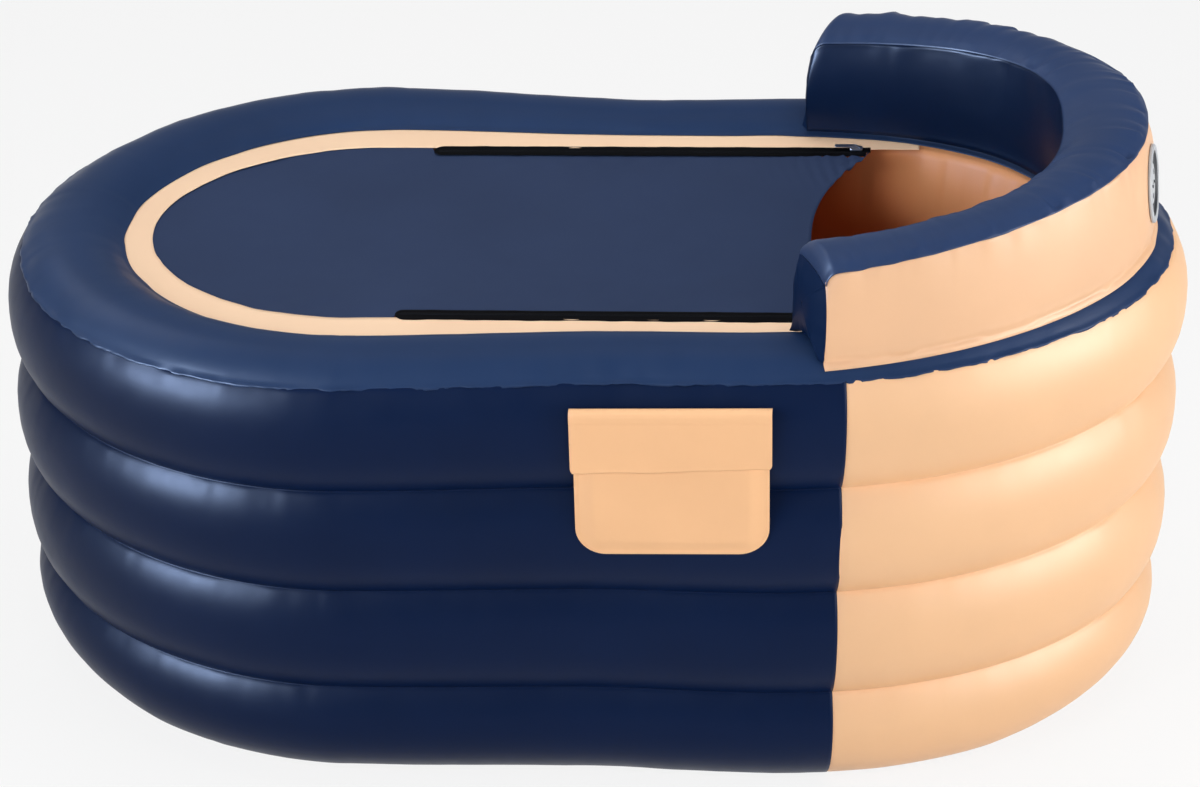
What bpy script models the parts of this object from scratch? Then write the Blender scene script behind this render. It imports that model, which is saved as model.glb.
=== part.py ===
"""Inflatable bathtub with a zipped cover, a raised backrest, a side pocket and a built-in air pump.

Metres, +Z up. The foot end is at -X, the head end with the backrest at +X, and the tub stands on z = 0.
The long films are thin closed sheets, swept along shared stations that run once round the tub.
"""

import math

import bmesh
import bpy
from mathutils import Matrix, Vector

# Overall tub
tub_length = 1.60
tub_width = 0.85
wall_height = 0.646
head_rise_share = 0.047
film = 0.0005
fit_gap = 0.0003
weld_width = 0.007

# Rings of the wall
ring_count = 4
ring_bulge = 0.024
ring_steps = 4
base_tuck = 0.035
base_tuck_power = 3
waist_depth = 0.026
waist_share = 0.1160
waist_reach_share = 0.3608

# Plan of the wall: each end is half an ellipse, a share of the half length deep along X
foot_end_share = 0.6173
head_end_share = 0.8466
foot_steps = 16
side_steps = 6

# Top panel and inner wall
top_width_end = 0.136
top_width_side = 0.113
inner_end_inset = 0.115
inner_head_power = 2.5
top_crown = 0.031
top_steps = 6
inner_bulge = 0.014
inner_ring_steps = 2
web_hole_radius = 0.018
web_hole_count = 6
web_hole_sides = 12

# Colour joint of the outer wall, and where the backrest and the cover border end: shares of the half length
wall_joint_share = 0.4510
backrest_end_share = 0.3995
border_end_share = 0.5670
head_front_steps = 2
head_mid_steps = 2
head_rear_steps = 10

# Backrest: heights are above the wall's top weld, shares are across the top panel, from outside to inside
backrest_rear_height = 0.172
backrest_end_height = 0.146
backrest_inner_drop = 0.004
backrest_crown = 0.016
backrest_steps = 4
backrest_outer_rear_share = 0.20
backrest_outer_end_share = 0.11
backrest_lean_rear_share = 0.167
backrest_lean_end_share = 0.02
backrest_inner_share = 0.97
backrest_top_inner_share = 0.94
backrest_outer_bulge_share = 0.05
backrest_inner_bulge_share = 0.13
backrest_flange_share = 0.05
backrest_base_share = 0.02
backrest_base_lift = 0.0010
backrest_flange_lift = 0.0026
backrest_end_swell = 0.008

# Cover, with its places along X as shares of the half length
border_foot_width = 0.041
border_foot_inset = 0.065
cover_lap = 0.008
hinge_share = -0.3170
hinge_clearance = 0.0008
hinge_lift = 0.0008
neck_share = 0.3814
neck_horn_share = 0.1005
neck_power = 2.4
neck_steps = 12

# Zips
zip_inset = 0.069
zip_tape_width = 0.010
zip_tape_thickness = 0.0008
zip_bead_width = 0.0022
zip_bead_height = 0.0018
zip_foot_clearance = 0.006
zip_lap = 0.004
zip_head_share = 0.4794
slider_length = 0.018
slider_width = 0.011
slider_height = 0.0045
slider_nose = 0.0036
slider_shoulder = 0.0028
slider_rest_share = 0.4536
slider_lug_height = 0.0024
slider_lug_length = 0.003
slider_lug_width = 0.0032
pull_length = 0.030
pull_width = 0.0078
pull_thickness = 0.0014
pull_throat = 0.0028

# Pocket
pocket_centre_share = 0.1690
pocket_width = 0.250
pocket_top_z = 0.622
pocket_height = 0.222
pocket_depth = 0.0085
pocket_corner = 0.040
pocket_corner_start_share = 0.35
pocket_edge_share = 0.33
pocket_stand_off = 0.0004
pocket_flap_drop = 0.088
pocket_flap_overhang = 0.003
pocket_flap_clearance = 0.0012
pocket_corner_steps = 4

# Pump, with its depths measured inward from the backrest's outer film
pump_angle = math.radians(-5.1)
pump_height = 0.101
pump_flange_radius = 0.052
pump_flange_thickness = 0.0045
pump_rim = 0.0011
pump_recess_radius = 0.0415
pump_recess_depth = 0.014
pump_wall = 0.0016
pump_hole_clearance = 0.0012
pump_sides = 36
pump_hidden_sides = 20
knob_radius = 0.027
knob_thickness = 0.009
knob_edge = 0.0015
knob_grip_length = 0.044
knob_grip_width = 0.011
knob_grip_height = 0.0035
knob_shaft_radius = 0.005
knob_port_radius = 0.0045
knob_port_depth = 0.003
knob_port_offset = 0.015
case_depth = 0.056
case_radius = 0.027
case_wall = 0.002
case_outlet_radius = 0.010
mount_depth_share = 0.55
mount_thickness = 0.002
motor_radius = 0.0115
motor_length = 0.026
motor_shaft_radius = 0.0012
impeller_radius = 0.021
impeller_thickness = 0.0016
impeller_blade_height = 0.007
impeller_blade_thickness = 0.0016
impeller_blades = 8
impeller_hub_radius = 0.0045
battery_size = (0.007, 0.018, 0.022)
battery_offset = 0.0165
board_size = (0.0016, 0.024, 0.024)
board_offset = -0.0165
check_flap_radius = 0.0125
check_flap_thickness = 0.0008

# Drain, through the far side of the lowest ring near the foot
drain_share = -0.3222
drain_bore = 0.014
drain_tube_wall = 0.002
drain_flange_radius = 0.028
drain_flange_thickness = 0.0025
drain_sides = 24
drain_inner_seat = 0.0015
drain_cap_skirt = 0.006
drain_cap_wall = 0.0016
drain_cap_radius = 0.021
drain_plug_length = 0.014
drain_plug_head_radius = 0.019
drain_plug_head_thickness = 0.003
drain_plug_grip_height = 0.010
drain_plug_grip_width = 0.004

# Worked out from the values above
half_length = tub_length / 2 - ring_bulge
half_width = tub_width / 2 - ring_bulge
inner_half_length = half_length - top_width_end
inner_half_width = half_width - top_width_side
foot_end_depth = half_length * foot_end_share
head_end_depth = half_length * head_end_share
inner_foot_depth = foot_end_depth - inner_end_inset
inner_head_depth = head_end_depth - inner_end_inset
waist_x = half_length * waist_share
waist_reach = half_length * waist_reach_share
wall_joint_x = half_length * wall_joint_share
backrest_end_x = half_length * backrest_end_share
border_end_x = half_length * border_end_share
ring_height = wall_height / ring_count
border_z = wall_height
top_inner_z = border_z + 2 * film + fit_gap
panel_z = border_z - fit_gap - film
zip_y = inner_half_width - zip_inset
zip_head_x = half_length * zip_head_share
slider_rest_x = half_length * slider_rest_share
border_edge_y = zip_y + zip_tape_width
border_foot_x = -(inner_half_length - border_foot_width)
border_foot_depth = inner_foot_depth - border_foot_inset
hinge_x = half_length * hinge_share
neck_x = half_length * neck_share
neck_horn = half_length * neck_horn_share
pocket_centre_x = half_length * pocket_centre_share
drain_x = half_length * drain_share
quarter_turn = math.pi / 2

# Colours as they look in the picture, in linear light
navy = (0.0075, 0.019, 0.080)
cover_navy = (0.036, 0.051, 0.108)
peach = (0.93, 0.60, 0.37)
zip_black = (0.006, 0.006, 0.007)
pump_grey = (0.47, 0.49, 0.52)
pump_dark = (0.035, 0.038, 0.045)
steel = (0.62, 0.62, 0.63)
board_green = (0.02, 0.12, 0.05)


def clear_scene():
    for item in list(bpy.data.objects):
        bpy.data.objects.remove(item, do_unlink=True)


def finish_material(name, colour, roughness, metallic=0.0):
    material = bpy.data.materials.new(name)
    material.use_nodes = True
    shader = material.node_tree.nodes["Principled BSDF"]
    shader.inputs["Base Color"].default_value = (*colour, 1)
    shader.inputs["Roughness"].default_value = roughness
    shader.inputs["Metallic"].default_value = metallic
    return material


def make_object(name, work, look, parent=None, smooth=True):
    """Turns a bmesh into a named object with its own material, facing outward."""
    bmesh.ops.recalc_face_normals(work, faces=work.faces)
    mesh = bpy.data.meshes.new(name)
    work.to_mesh(mesh)
    work.free()
    for face in mesh.polygons:
        face.use_smooth = smooth
    item = bpy.data.objects.new(name, mesh)
    bpy.context.scene.collection.objects.link(item)
    mesh.materials.append(finish_material(name + "_finish", *look))
    if parent is not None:
        item.parent = parent
    return item


def make_empty(name, matrix, parent=None):
    item = bpy.data.objects.new(name, None)
    bpy.context.scene.collection.objects.link(item)
    if parent is not None:
        item.parent = parent
    item.matrix_world = matrix
    return item


def cut_with(item, cutter):
    """Takes a helper's shape out of an object."""
    cutter.hide_render = True
    cutter.display_type = "WIRE"
    cut = item.modifiers.new("cut_" + cutter.name, "BOOLEAN")
    cut.operation = "DIFFERENCE"
    cut.solver = "EXACT"
    cut.object = cutter


def join_with(item, helper):
    """Adds a helper's shape to an object."""
    helper.hide_render = True
    helper.display_type = "WIRE"
    join = item.modifiers.new("join_" + helper.name, "BOOLEAN")
    join.operation = "UNION"
    join.solver = "EXACT"
    join.use_self = True
    join.object = helper


# Plan of the tub
def head_angle(x, centre, depth, power=2):
    return math.acos(((x - centre) / depth) ** (power / 2))


def spread(start, end, steps):
    """Evenly spaced values from start up to, but not including, end."""
    return [start + (end - start) * step / steps for step in range(steps)]


def station_list():
    """Places round the tub, from the near colour joint past the foot end and back round the head end."""
    outer_centre = half_length - head_end_depth
    inner_centre = inner_half_length - inner_head_depth
    joint = head_angle(wall_joint_x, outer_centre, head_end_depth)
    backrest = head_angle(backrest_end_x, outer_centre, head_end_depth)
    border = head_angle(border_end_x, inner_centre, inner_head_depth, inner_head_power)
    near_front = [-joint] + spread(-backrest, -quarter_turn, head_front_steps)
    stations = [("head", angle) for angle in near_front]
    stations += [("near", share) for share in spread(1, 0, side_steps)]
    stations += [("foot", angle) for angle in spread(-quarter_turn, quarter_turn, foot_steps)]
    stations += [("far", share) for share in spread(0, 1, side_steps)]
    far_front = spread(quarter_turn, backrest, head_front_steps) + [backrest]
    stations += [("head", angle) for angle in far_front]
    far_joint = len(stations)
    rear = spread(joint, border, head_mid_steps) + spread(border, -border, head_rear_steps)
    rear += spread(-border, -joint, head_mid_steps)
    stations += [("head", angle) for angle in rear]
    return stations, far_joint


def plan_point(station, length, width, foot_depth, head_depth, power=2):
    """A point of a plan with elliptic ends, drawn in at the waist. A higher power squares the head end."""
    kind, value = station
    head_x = length - head_depth
    foot_x = foot_depth - length
    if kind == "head":
        x = head_x + head_depth * math.cos(value) ** (2 / power)
        y = width * math.copysign(abs(math.sin(value)) ** (2 / power), value)
    elif kind == "foot":
        x = foot_x - foot_depth * math.cos(value)
        y = width * math.sin(value)
    else:
        x = foot_x + (head_x - foot_x) * value
        y = width if kind == "far" else -width
    waist = waist_depth * math.exp(-(((x - waist_x) / waist_reach) ** 2))
    return Vector((x, y * (1 - waist / half_width), 0))


def plan_normals(points):
    """The outward direction at each point of a closed plan."""
    normals = []
    for index, point in enumerate(points):
        along = points[(index + 1) % len(points)] - points[index - 1]
        side = Vector((along.y, -along.x, 0)).normalized()
        normals.append(side if side.dot(point) > 0 else -side)
    return normals


def settle(point):
    """Raises the tub gently towards its head end."""
    return Vector((point.x, point.y, point.z * (1 + head_rise_share * point.x / half_length)))


def arch(share):
    """A low arch, 0 at both ends and 1 in the middle."""
    return 4 * share * (1 - share)


stations, far_joint = station_list()
station_count = len(stations)
outer_plan = [
    plan_point(station, half_length, half_width, foot_end_depth, head_end_depth)
    for station in stations
]
inner_sizes = (inner_half_length, inner_half_width, inner_foot_depth, inner_head_depth)
inner_plan = [plan_point(station, *inner_sizes, inner_head_power) for station in stations]
outer_normals = plan_normals(outer_plan)
inner_normals = plan_normals(inner_plan)


def outer_row(offset, z, columns):
    return [
        settle(outer_plan[c % station_count] + outer_normals[c % station_count] * offset + Vector((0, 0, z)))
        for c in columns
    ]


def inner_row(offset, z, columns):
    return [
        settle(inner_plan[c % station_count] + inner_normals[c % station_count] * offset + Vector((0, 0, z)))
        for c in columns
    ]


def across_row(share, z, columns):
    """Points a share of the way from the outer plan to the inner plan."""
    return [
        settle(
            outer_plan[c % station_count].lerp(inner_plan[c % station_count], share) + Vector((0, 0, z))
        )
        for c in columns
    ]


def grid_normals(rows, closed):
    """The average direction at each point of a grid of rows."""
    normals = []
    last_row = len(rows) - 1
    last_column = len(rows[0]) - 1
    for r, row in enumerate(rows):
        line = []
        for c in range(len(row)):
            if closed:
                left, right = row[c - 1], row[(c + 1) % len(row)]
            else:
                left, right = row[max(c - 1, 0)], row[min(c + 1, last_column)]
            along = (right - left).normalized()
            normal = Vector()
            if r > 0:
                normal += (row[c] - rows[r - 1][c]).normalized().cross(along).normalized()
            if r < last_row:
                normal += (rows[r + 1][c] - row[c]).normalized().cross(along).normalized()
            line.append(normal.normalized())
        normals.append(line)
    return normals


def film_body(name, rows, closed, look, thickness=film, flip=False, parent=None):
    """A closed thin sheet: the rows are its outside face, and its inside face lies a thickness behind."""
    normals = grid_normals(rows, closed)
    sign = -1 if flip else 1
    work = bmesh.new()
    front = [[work.verts.new(point) for point in row] for row in rows]
    back = [
        [work.verts.new(point - normal * thickness * sign) for point, normal in zip(row, line)]
        for row, line in zip(rows, normals)
    ]
    columns = len(rows[0])
    reach = columns if closed else columns - 1
    for r in range(len(rows) - 1):
        for c in range(reach):
            n = (c + 1) % columns
            work.faces.new((front[r][c], front[r][n], front[r + 1][n], front[r + 1][c]))
            work.faces.new((back[r + 1][c], back[r + 1][n], back[r][n], back[r][c]))
    for r in (0, len(rows) - 1):
        for c in range(reach):
            n = (c + 1) % columns
            work.faces.new((front[r][c], front[r][n], back[r][n], back[r][c]))
    if not closed:
        for c in (0, columns - 1):
            for r in range(len(rows) - 1):
                work.faces.new((front[r][c], front[r + 1][c], back[r + 1][c], back[r][c]))
    return make_object(name, work, look, parent)


def loop_body(name, loops, look, cyclic=False, parent=None, smooth=True):
    """A closed solid through loops of points, either joined end to end or closed with two caps."""
    work = bmesh.new()
    rings = [[work.verts.new(point) for point in loop] for loop in loops]
    count = len(loops[0])
    pairs = list(zip(rings, rings[1:]))
    if cyclic:
        pairs.append((rings[-1], rings[0]))
    else:
        work.faces.new(rings[0])
        work.faces.new(rings[-1])
    for low, high in pairs:
        for c in range(count):
            n = (c + 1) % count
            work.faces.new((low[c], low[n], high[n], high[c]))
    return make_object(name, work, look, parent, smooth)


def circle(radius, z, sides, centre=(0, 0)):
    return [
        Vector(
            (
                centre[0] + radius * math.cos(math.tau * side / sides),
                centre[1] + radius * math.sin(math.tau * side / sides),
                z,
            )
        )
        for side in range(sides)
    ]


def turned_body(name, profile, sides, look, cyclic=False, parent=None):
    """A turned piece about local Z. The profile holds radius and height, and never reaches the axis."""
    loops = [circle(radius, z, sides) for radius, z in profile]
    return loop_body(name, loops, look, cyclic, parent)


def plate_body(name, outline, low_z, high_z, look, parent=None, smooth=False):
    """A flat plate with this outline. Its heights are settled with the tub when it has no parent."""
    place = settle if parent is None else Vector
    loops = [[place(Vector((p.x, p.y, z))) for p in outline] for z in (low_z, high_z)]
    return loop_body(name, loops, look, parent=parent, smooth=smooth)


def box_loops(size, centre):
    """Two rectangles that make a box along Z."""
    half_x, half_y, half_z = (side / 2 for side in size)
    corners = ((-half_x, -half_y), (half_x, -half_y), (half_x, half_y), (-half_x, half_y))
    return [
        [Vector((centre[0] + x, centre[1] + y, centre[2] + z)) for x, y in corners]
        for z in (-half_z, half_z)
    ]


def draw_in_ends(rows):
    """Leaves half a fit gap at both ends of an open sheet."""
    for row in rows:
        row[0] = row[0] + (row[1] - row[0]).normalized() * fit_gap / 2
        row[-1] = row[-1] + (row[-2] - row[-1]).normalized() * fit_gap / 2
    return rows


# Wall and base
every_column = range(station_count)
front_columns = range(far_joint + 1)
rear_columns = range(far_joint, station_count + 1)
top_weld_z = wall_height - fit_gap / 2 - film
bottom_weld_z = film + fit_gap


def ring_offset(ring, share):
    """How far a ring stands out a share of the way up it. The lowest one is drawn in to the base."""
    tuck = base_tuck * (1 - share) ** base_tuck_power if ring == 0 else 0
    return ring_bulge * arch(share) - tuck


def outer_wall_rows(columns):
    """The outer wall from its bottom weld up over every ring to its top weld."""
    rows = [outer_row(-base_tuck - weld_width, bottom_weld_z, columns)]
    for ring in range(ring_count):
        for step in range(ring_steps):
            share = step / ring_steps
            z = max(ring_height * (ring + share), bottom_weld_z)
            rows.append(outer_row(ring_offset(ring, share), z, columns))
    rows.append(outer_row(0, top_weld_z, columns))
    rows.append(outer_row(weld_width, top_weld_z, columns))
    return draw_in_ends(rows) if len(columns) < station_count else rows


def make_wall():
    front = film_body("outer_wall_front", outer_wall_rows(front_columns), False, (navy, 0.33))
    film_body("outer_wall_rear", outer_wall_rows(rear_columns), False, (peach, 0.45))
    base_edge = outer_row(-base_tuck, 0, every_column)
    plate_body("base_sheet", base_edge, 0, film, (peach, 0.5))
    return front


def top_crown_z(share):
    return wall_height + (top_inner_z - wall_height) * share + top_crown * arch(share)


def top_surface_z(share):
    """The height of the top panel between two of its rows."""
    step = min(math.floor(share * top_steps), top_steps - 1)
    part = share * top_steps - step
    low, high = top_crown_z(step / top_steps), top_crown_z((step + 1) / top_steps)
    return low + (high - low) * part


def make_top_panel():
    top_film = fit_gap / 2 + film
    rows = [outer_row(weld_width, wall_height + top_film, every_column)]
    rows.append(outer_row(0, wall_height + top_film, every_column))
    for step in range(1, top_steps):
        share = step / top_steps
        rows.append(across_row(share, top_crown_z(share), every_column))
    rows.append(inner_row(0, top_inner_z, every_column))
    rows.append(inner_row(-weld_width, top_inner_z, every_column))
    film_body("top_panel", rows, True, (navy, 0.33))


def make_inner_wall():
    rows = [inner_row(weld_width, bottom_weld_z, every_column)]
    for ring in range(ring_count):
        for step in range(inner_ring_steps):
            share = step / inner_ring_steps
            z = max(ring_height * (ring + share), bottom_weld_z)
            rows.append(inner_row(-inner_bulge * arch(share), z, every_column))
    rows.append(inner_row(0, panel_z, every_column))
    rows.append(inner_row(-weld_width, panel_z, every_column))
    return film_body("inner_wall", rows, True, (peach, 0.45), flip=True)


def make_webs():
    """Rings inside the wall that tie the two films together at each groove, with holes for the air."""
    tie_gap = film + 2 * fit_gap
    for level in range(1, ring_count):
        z = ring_height * level
        edges = ((outer_row, -tie_gap), (inner_row, tie_gap))
        loops = []
        for (row, offset), heights in zip(edges, ((-film / 2, film / 2), (film / 2, -film / 2))):
            loops += [row(offset, z + height, every_column) for height in heights]
        web = loop_body(f"wall_web_{level}", loops, (peach, 0.5), cyclic=True)
        holes = bmesh.new()
        for hole in range(web_hole_count):
            column = round((hole + 0.5) * station_count / web_hole_count)
            spot = across_row(0.5, z, [column])[0]
            bmesh.ops.create_cone(
                holes,
                cap_ends=True,
                segments=web_hole_sides,
                radius1=web_hole_radius,
                radius2=web_hole_radius,
                depth=2 * web_hole_radius,
                matrix=Matrix.Translation(spot),
            )
        cut_with(web, make_object(f"web_holes_{level}", holes, (peach, 0.5)))


# Backrest
backrest_columns = range(far_joint - 1, station_count + 2)


def along_backrest(column, rear, end):
    """A size of the backrest that changes from its rear to both its ends."""
    angle = abs(stations[column % station_count][1])
    end_angle = abs(stations[backrest_columns[0]][1])
    return rear + (end - rear) * (angle / end_angle) ** 2


def backrest_outer_share(column):
    """Where the backrest's outer foot lies across the top panel: near the edge at the ends."""
    return along_backrest(column, backrest_outer_rear_share, backrest_outer_end_share)


def backrest_lean(column):
    return along_backrest(column, backrest_lean_rear_share, backrest_lean_end_share)


def backrest_height(column):
    return along_backrest(column, backrest_rear_height, backrest_end_height)


def backrest_row(share_at, z_at):
    """A row along the backrest, from functions of the column, the second also of the share across."""
    row = []
    for column in backrest_columns:
        share = share_at(column)
        row += across_row(share, z_at(column, share), [column])
    return row


def backrest_rows():
    """The rows of its base, outer, top and inner sheets."""
    lower = fit_gap + film
    upper = 2 * (fit_gap + film)
    flange = backrest_flange_share

    def on_panel(lift):
        return lambda column, share: top_surface_z(share) + lift

    def at_height(lift):
        return lambda column, share: wall_height + backrest_height(column) + lift

    base = []
    for step in range(top_steps + 1):

        def base_share(column, step=step):
            start = backrest_outer_share(column) - flange + step * backrest_base_share
            return min(max(start, step / top_steps), backrest_inner_share)

        base.append(backrest_row(base_share, on_panel(lower + backrest_base_lift)))
    outer = [
        backrest_row(lambda c: backrest_outer_share(c) - flange, on_panel(upper + backrest_flange_lift)),
        backrest_row(backrest_outer_share, on_panel(upper + backrest_flange_lift)),
    ]
    low_at = outer[1]
    for step in range(1, backrest_steps + 1):
        part = step / backrest_steps

        def outer_share(column, part=part):
            lean = backrest_lean(column) * part
            return backrest_outer_share(column) + lean - backrest_outer_bulge_share * arch(part)

        high = backrest_row(outer_share, at_height(0))
        outer.append(mix_heights(high, low_at, part))
    top = []
    for step in range(backrest_steps + 1):
        part = step / backrest_steps

        def top_share(column, part=part):
            start = backrest_outer_share(column) + backrest_lean(column)
            return start + (backrest_top_inner_share - start) * part

        lift = fit_gap + film + backrest_crown * arch(part) - backrest_inner_drop * part
        top.append(backrest_row(top_share, at_height(lift)))
    inner = []
    inner_low = backrest_row(lambda c: backrest_inner_share, on_panel(upper + backrest_flange_lift))
    for step in range(backrest_steps + 1):
        part = 1 - step / backrest_steps

        def inner_share(column, part=part):
            reach = backrest_inner_share + (backrest_top_inner_share - backrest_inner_share) * part
            return reach + backrest_inner_bulge_share * arch(part)

        high = backrest_row(inner_share, at_height(-backrest_inner_drop))
        inner.append(mix_heights(high, inner_low, part))
    return base, outer, top, inner


def mix_heights(high, low, part):
    """Keeps the plan of the high row and puts it part of the way up from the low row."""
    return [
        Vector((up.x, up.y, down.z + (up.z - down.z) * part)) for up, down in zip(high, low)
    ]


def make_backrest():
    base, outer, top, inner = backrest_rows()
    film_body("backrest_base", base, False, (navy, 0.4))
    outer_sheet = film_body("backrest_outer", outer, False, (peach, 0.45))
    film_body("backrest_top", top, False, (navy, 0.33))
    film_body("backrest_inner", inner, False, (navy, 0.33))
    section = outer[1:] + top[1:-1] + inner[:-1] + base[-1:] + base[-2:0:-1]
    for name, column, beside in (("backrest_end_far", 0, 1), ("backrest_end_near", -1, -2)):
        make_backrest_end(name, [row[column] for row in section], [row[beside] for row in section])
    return outer_sheet, outer


def make_backrest_end(name, outline, next_outline):
    """A swelling end panel that closes the backrest's section."""
    centre = sum(outline, Vector()) / len(outline)
    next_centre = sum(next_outline, Vector()) / len(next_outline)
    across = (outline[len(outline) // 2] - outline[0]).normalized()
    outward = Vector((0, 0, 1)).cross(Vector((across.x, across.y, 0)).normalized())
    outward = outward if outward.dot(centre - next_centre) > 0 else -outward
    work = bmesh.new()
    faces = []
    for distance in (2 * fit_gap, 2 * fit_gap + film):
        rim = [work.verts.new(point + outward * distance) for point in outline]
        middle = work.verts.new(centre + outward * (distance + backrest_end_swell))
        faces.append((rim, middle))
        for index, corner in enumerate(rim):
            work.faces.new((rim[index - 1], corner, middle))
    for index in range(len(outline)):
        inside, outside = faces[0][0], faces[1][0]
        work.faces.new((inside[index - 1], inside[index], outside[index], outside[index - 1]))
    make_object(name, work, (navy, 0.33))


# Cover
def border_inner_point(column):
    """The border's inner edge: half an ellipse at the foot, then straight beside each zip."""
    kind, value = stations[column % station_count]
    centre = border_foot_x + border_foot_depth
    if kind == "foot":
        x = centre - border_foot_depth * math.cos(value)
        return Vector((x, border_edge_y * math.sin(value), 0))
    outside = inner_plan[column % station_count]
    start = inner_foot_depth - inner_half_length
    reach = (outside.x - start) / (border_end_x - start)
    x = centre + (border_end_x - centre) * reach
    return Vector((x, math.copysign(border_edge_y, outside.y), 0))


def make_border():
    columns = range(-head_mid_steps, far_joint + head_mid_steps + 1)
    inside = [settle(border_inner_point(c) + Vector((0, 0, border_z + film))) for c in columns]
    outside = inner_row(0, border_z + film, columns)
    film_body("cover_border", [outside, inside], False, (peach, 0.5))


def foot_outline():
    """The outline of the fixed foot panel, with a lap under the border."""
    centre = border_foot_x + border_foot_depth
    depth = border_foot_depth + cover_lap
    width = border_edge_y + cover_lap
    points = [Vector((hinge_x - hinge_clearance, -width, 0))]
    for step in range(foot_steps + 1):
        angle = -quarter_turn + math.pi * step / foot_steps
        points.append(Vector((centre - depth * math.cos(angle), width * math.sin(angle), 0)))
    points.append(Vector((hinge_x - hinge_clearance, width, 0)))
    return points


def neck_edge_x(y):
    return neck_x + neck_horn * abs(y / zip_y) ** neck_power


def flap_outline():
    """The outline of the flap that the zips free, with its hollow neck edge."""
    width = zip_y - zip_tape_width + zip_lap
    start = hinge_x + hinge_clearance
    points = [Vector((start, -width, 0))]
    for step in range(neck_steps + 1):
        y = -width + 2 * width * step / neck_steps
        points.append(Vector((neck_edge_x(y), y, 0)))
    points.append(Vector((start, width, 0)))
    return points


def hinge_point():
    return settle(Vector((hinge_x, 0, panel_z + film / 2 + hinge_lift)))


def local_plate(name, outline, low_z, high_z, look, parent, smooth=False):
    """A settled plate whose points are kept in its parent's own space."""
    inverse = parent.matrix_world.inverted()
    loops = [[inverse @ settle(Vector((p.x, p.y, z))) for p in outline] for z in (low_z, high_z)]
    return loop_body(name, loops, look, parent=parent, smooth=smooth)


def make_cover():
    plate_body("cover_foot_panel", foot_outline(), panel_z, panel_z + film, (cover_navy, 0.6))
    hinge = make_empty("cover_hinge", Matrix.Translation(hinge_point()))
    bpy.context.view_layer.update()
    local_plate("cover_flap", flap_outline(), panel_z, panel_z + film, (cover_navy, 0.6), hinge)
    return hinge


# Zips
def zip_section(inner_y, outer_y, low_z, high_z, bead_at, side):
    """The section of one tape: a strip with a raised bead along its split edge."""
    bead_end = bead_at + math.copysign(zip_bead_width, outer_y - inner_y)
    bead_top = border_z + zip_tape_thickness + zip_bead_height
    points = [(inner_y, low_z), (outer_y, low_z), (outer_y, high_z)]
    points += [(bead_end, high_z), (bead_end, bead_top), (inner_y, bead_top)]
    return [(side * y, z) for y, z in points]


def zip_strip(name, section, start_x, end_x, parent=None):
    """A strip with this section, from the zip's foot end to its head end."""
    inverse = Matrix() if parent is None else parent.matrix_world.inverted()
    loops = [
        [inverse @ settle(Vector((x, y, z))) for y, z in section] for x in (start_x, end_x)
    ]
    loop_body(name, loops, (zip_black, 0.55), parent=parent, smooth=False)


def make_zips(hinge):
    start_x = hinge_x + zip_foot_clearance
    split = zip_y
    for label, side in (("near", -1), ("far", 1)):
        border_low = border_z - fit_gap - zip_tape_thickness
        border_part = zip_section(
            split + fit_gap,
            border_edge_y + zip_lap,
            border_low,
            border_low + zip_tape_thickness,
            split + fit_gap,
            side,
        )
        zip_strip(f"zip_border_tape_{label}", border_part, start_x, zip_head_x)
        flap_part = zip_section(
            split - fit_gap,
            split - zip_tape_width,
            border_z,
            border_z + zip_tape_thickness,
            split - fit_gap,
            side,
        )
        neck_limit = neck_edge_x(split - zip_tape_width)
        zip_strip(f"zip_flap_tape_{label}", flap_part, start_x, neck_limit, hinge)
        make_slider(label, side, split)


def slope_matrix(point):
    """A frame at this point whose X follows the cover's gentle rise."""
    rise = wall_height * head_rise_share / half_length
    return Matrix.Translation(point) @ Matrix.Rotation(-math.atan(rise), 4, "Y")


def make_slider(label, side, split):
    """A slider that rides on the border's half of the zip, with a pull tab on its lug."""
    bead_top = border_z + zip_tape_thickness + zip_bead_height
    seat = settle(Vector((slider_rest_x, side * (split + fit_gap), bead_top + fit_gap)))
    rest = make_empty(f"zip_slider_{label}_frame", slope_matrix(seat))
    bpy.context.view_layer.update()
    half = slider_length / 2
    tip = half - slider_nose
    broad = slider_width - slider_shoulder
    outline = [(-half, slider_shoulder), (-tip, 0), (tip, 0), (half, slider_shoulder)]
    outline += [(half, broad), (tip, slider_width), (-tip, slider_width), (-half, broad)]
    loops = [
        [Vector((x, side * (y + fit_gap), z)) for x, y in outline] for z in (0, slider_height)
    ]
    look = (steel, 0.3, 1.0)
    body = loop_body(f"zip_slider_{label}", loops, look, parent=rest, smooth=False)
    middle_y = side * (fit_gap + slider_width / 2)
    lug_size = (slider_lug_length, slider_lug_width, slider_height / 2 + slider_lug_height)
    lug = box_loops(lug_size, (0, middle_y, (slider_height + lug_size[2]) / 2))
    join_with(body, loop_body(f"slider_lug_{label}", lug, look, parent=rest, smooth=False))
    make_pull(label, rest, middle_y)


def make_pull(label, rest, middle_y):
    """A tab whose two arms straddle the slider's lug and turn about it."""
    axis_z = slider_height + 2 * fit_gap + pull_thickness / 2
    turn = Matrix.Translation((0, middle_y, axis_z))
    frame = make_empty(f"zip_pull_{label}_frame", rest.matrix_world @ turn)
    bpy.context.view_layer.update()
    half_width = pull_width / 2
    arm_inside = slider_lug_width / 2 + 2 * fit_gap
    half_thick = pull_thickness / 2
    outline = [(half_thick, arm_inside), (half_thick, half_width), (-pull_length, half_width)]
    outline += [(-pull_length, -half_width), (half_thick, -half_width), (half_thick, -arm_inside)]
    outline += [(-pull_throat, -arm_inside), (-pull_throat, arm_inside)]
    loops = [[Vector((x, y, z)) for x, y in outline] for z in (-half_thick, half_thick)]
    loop_body(f"zip_pull_{label}", loops, (steel, 0.3, 1.0), parent=frame, smooth=False)


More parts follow.
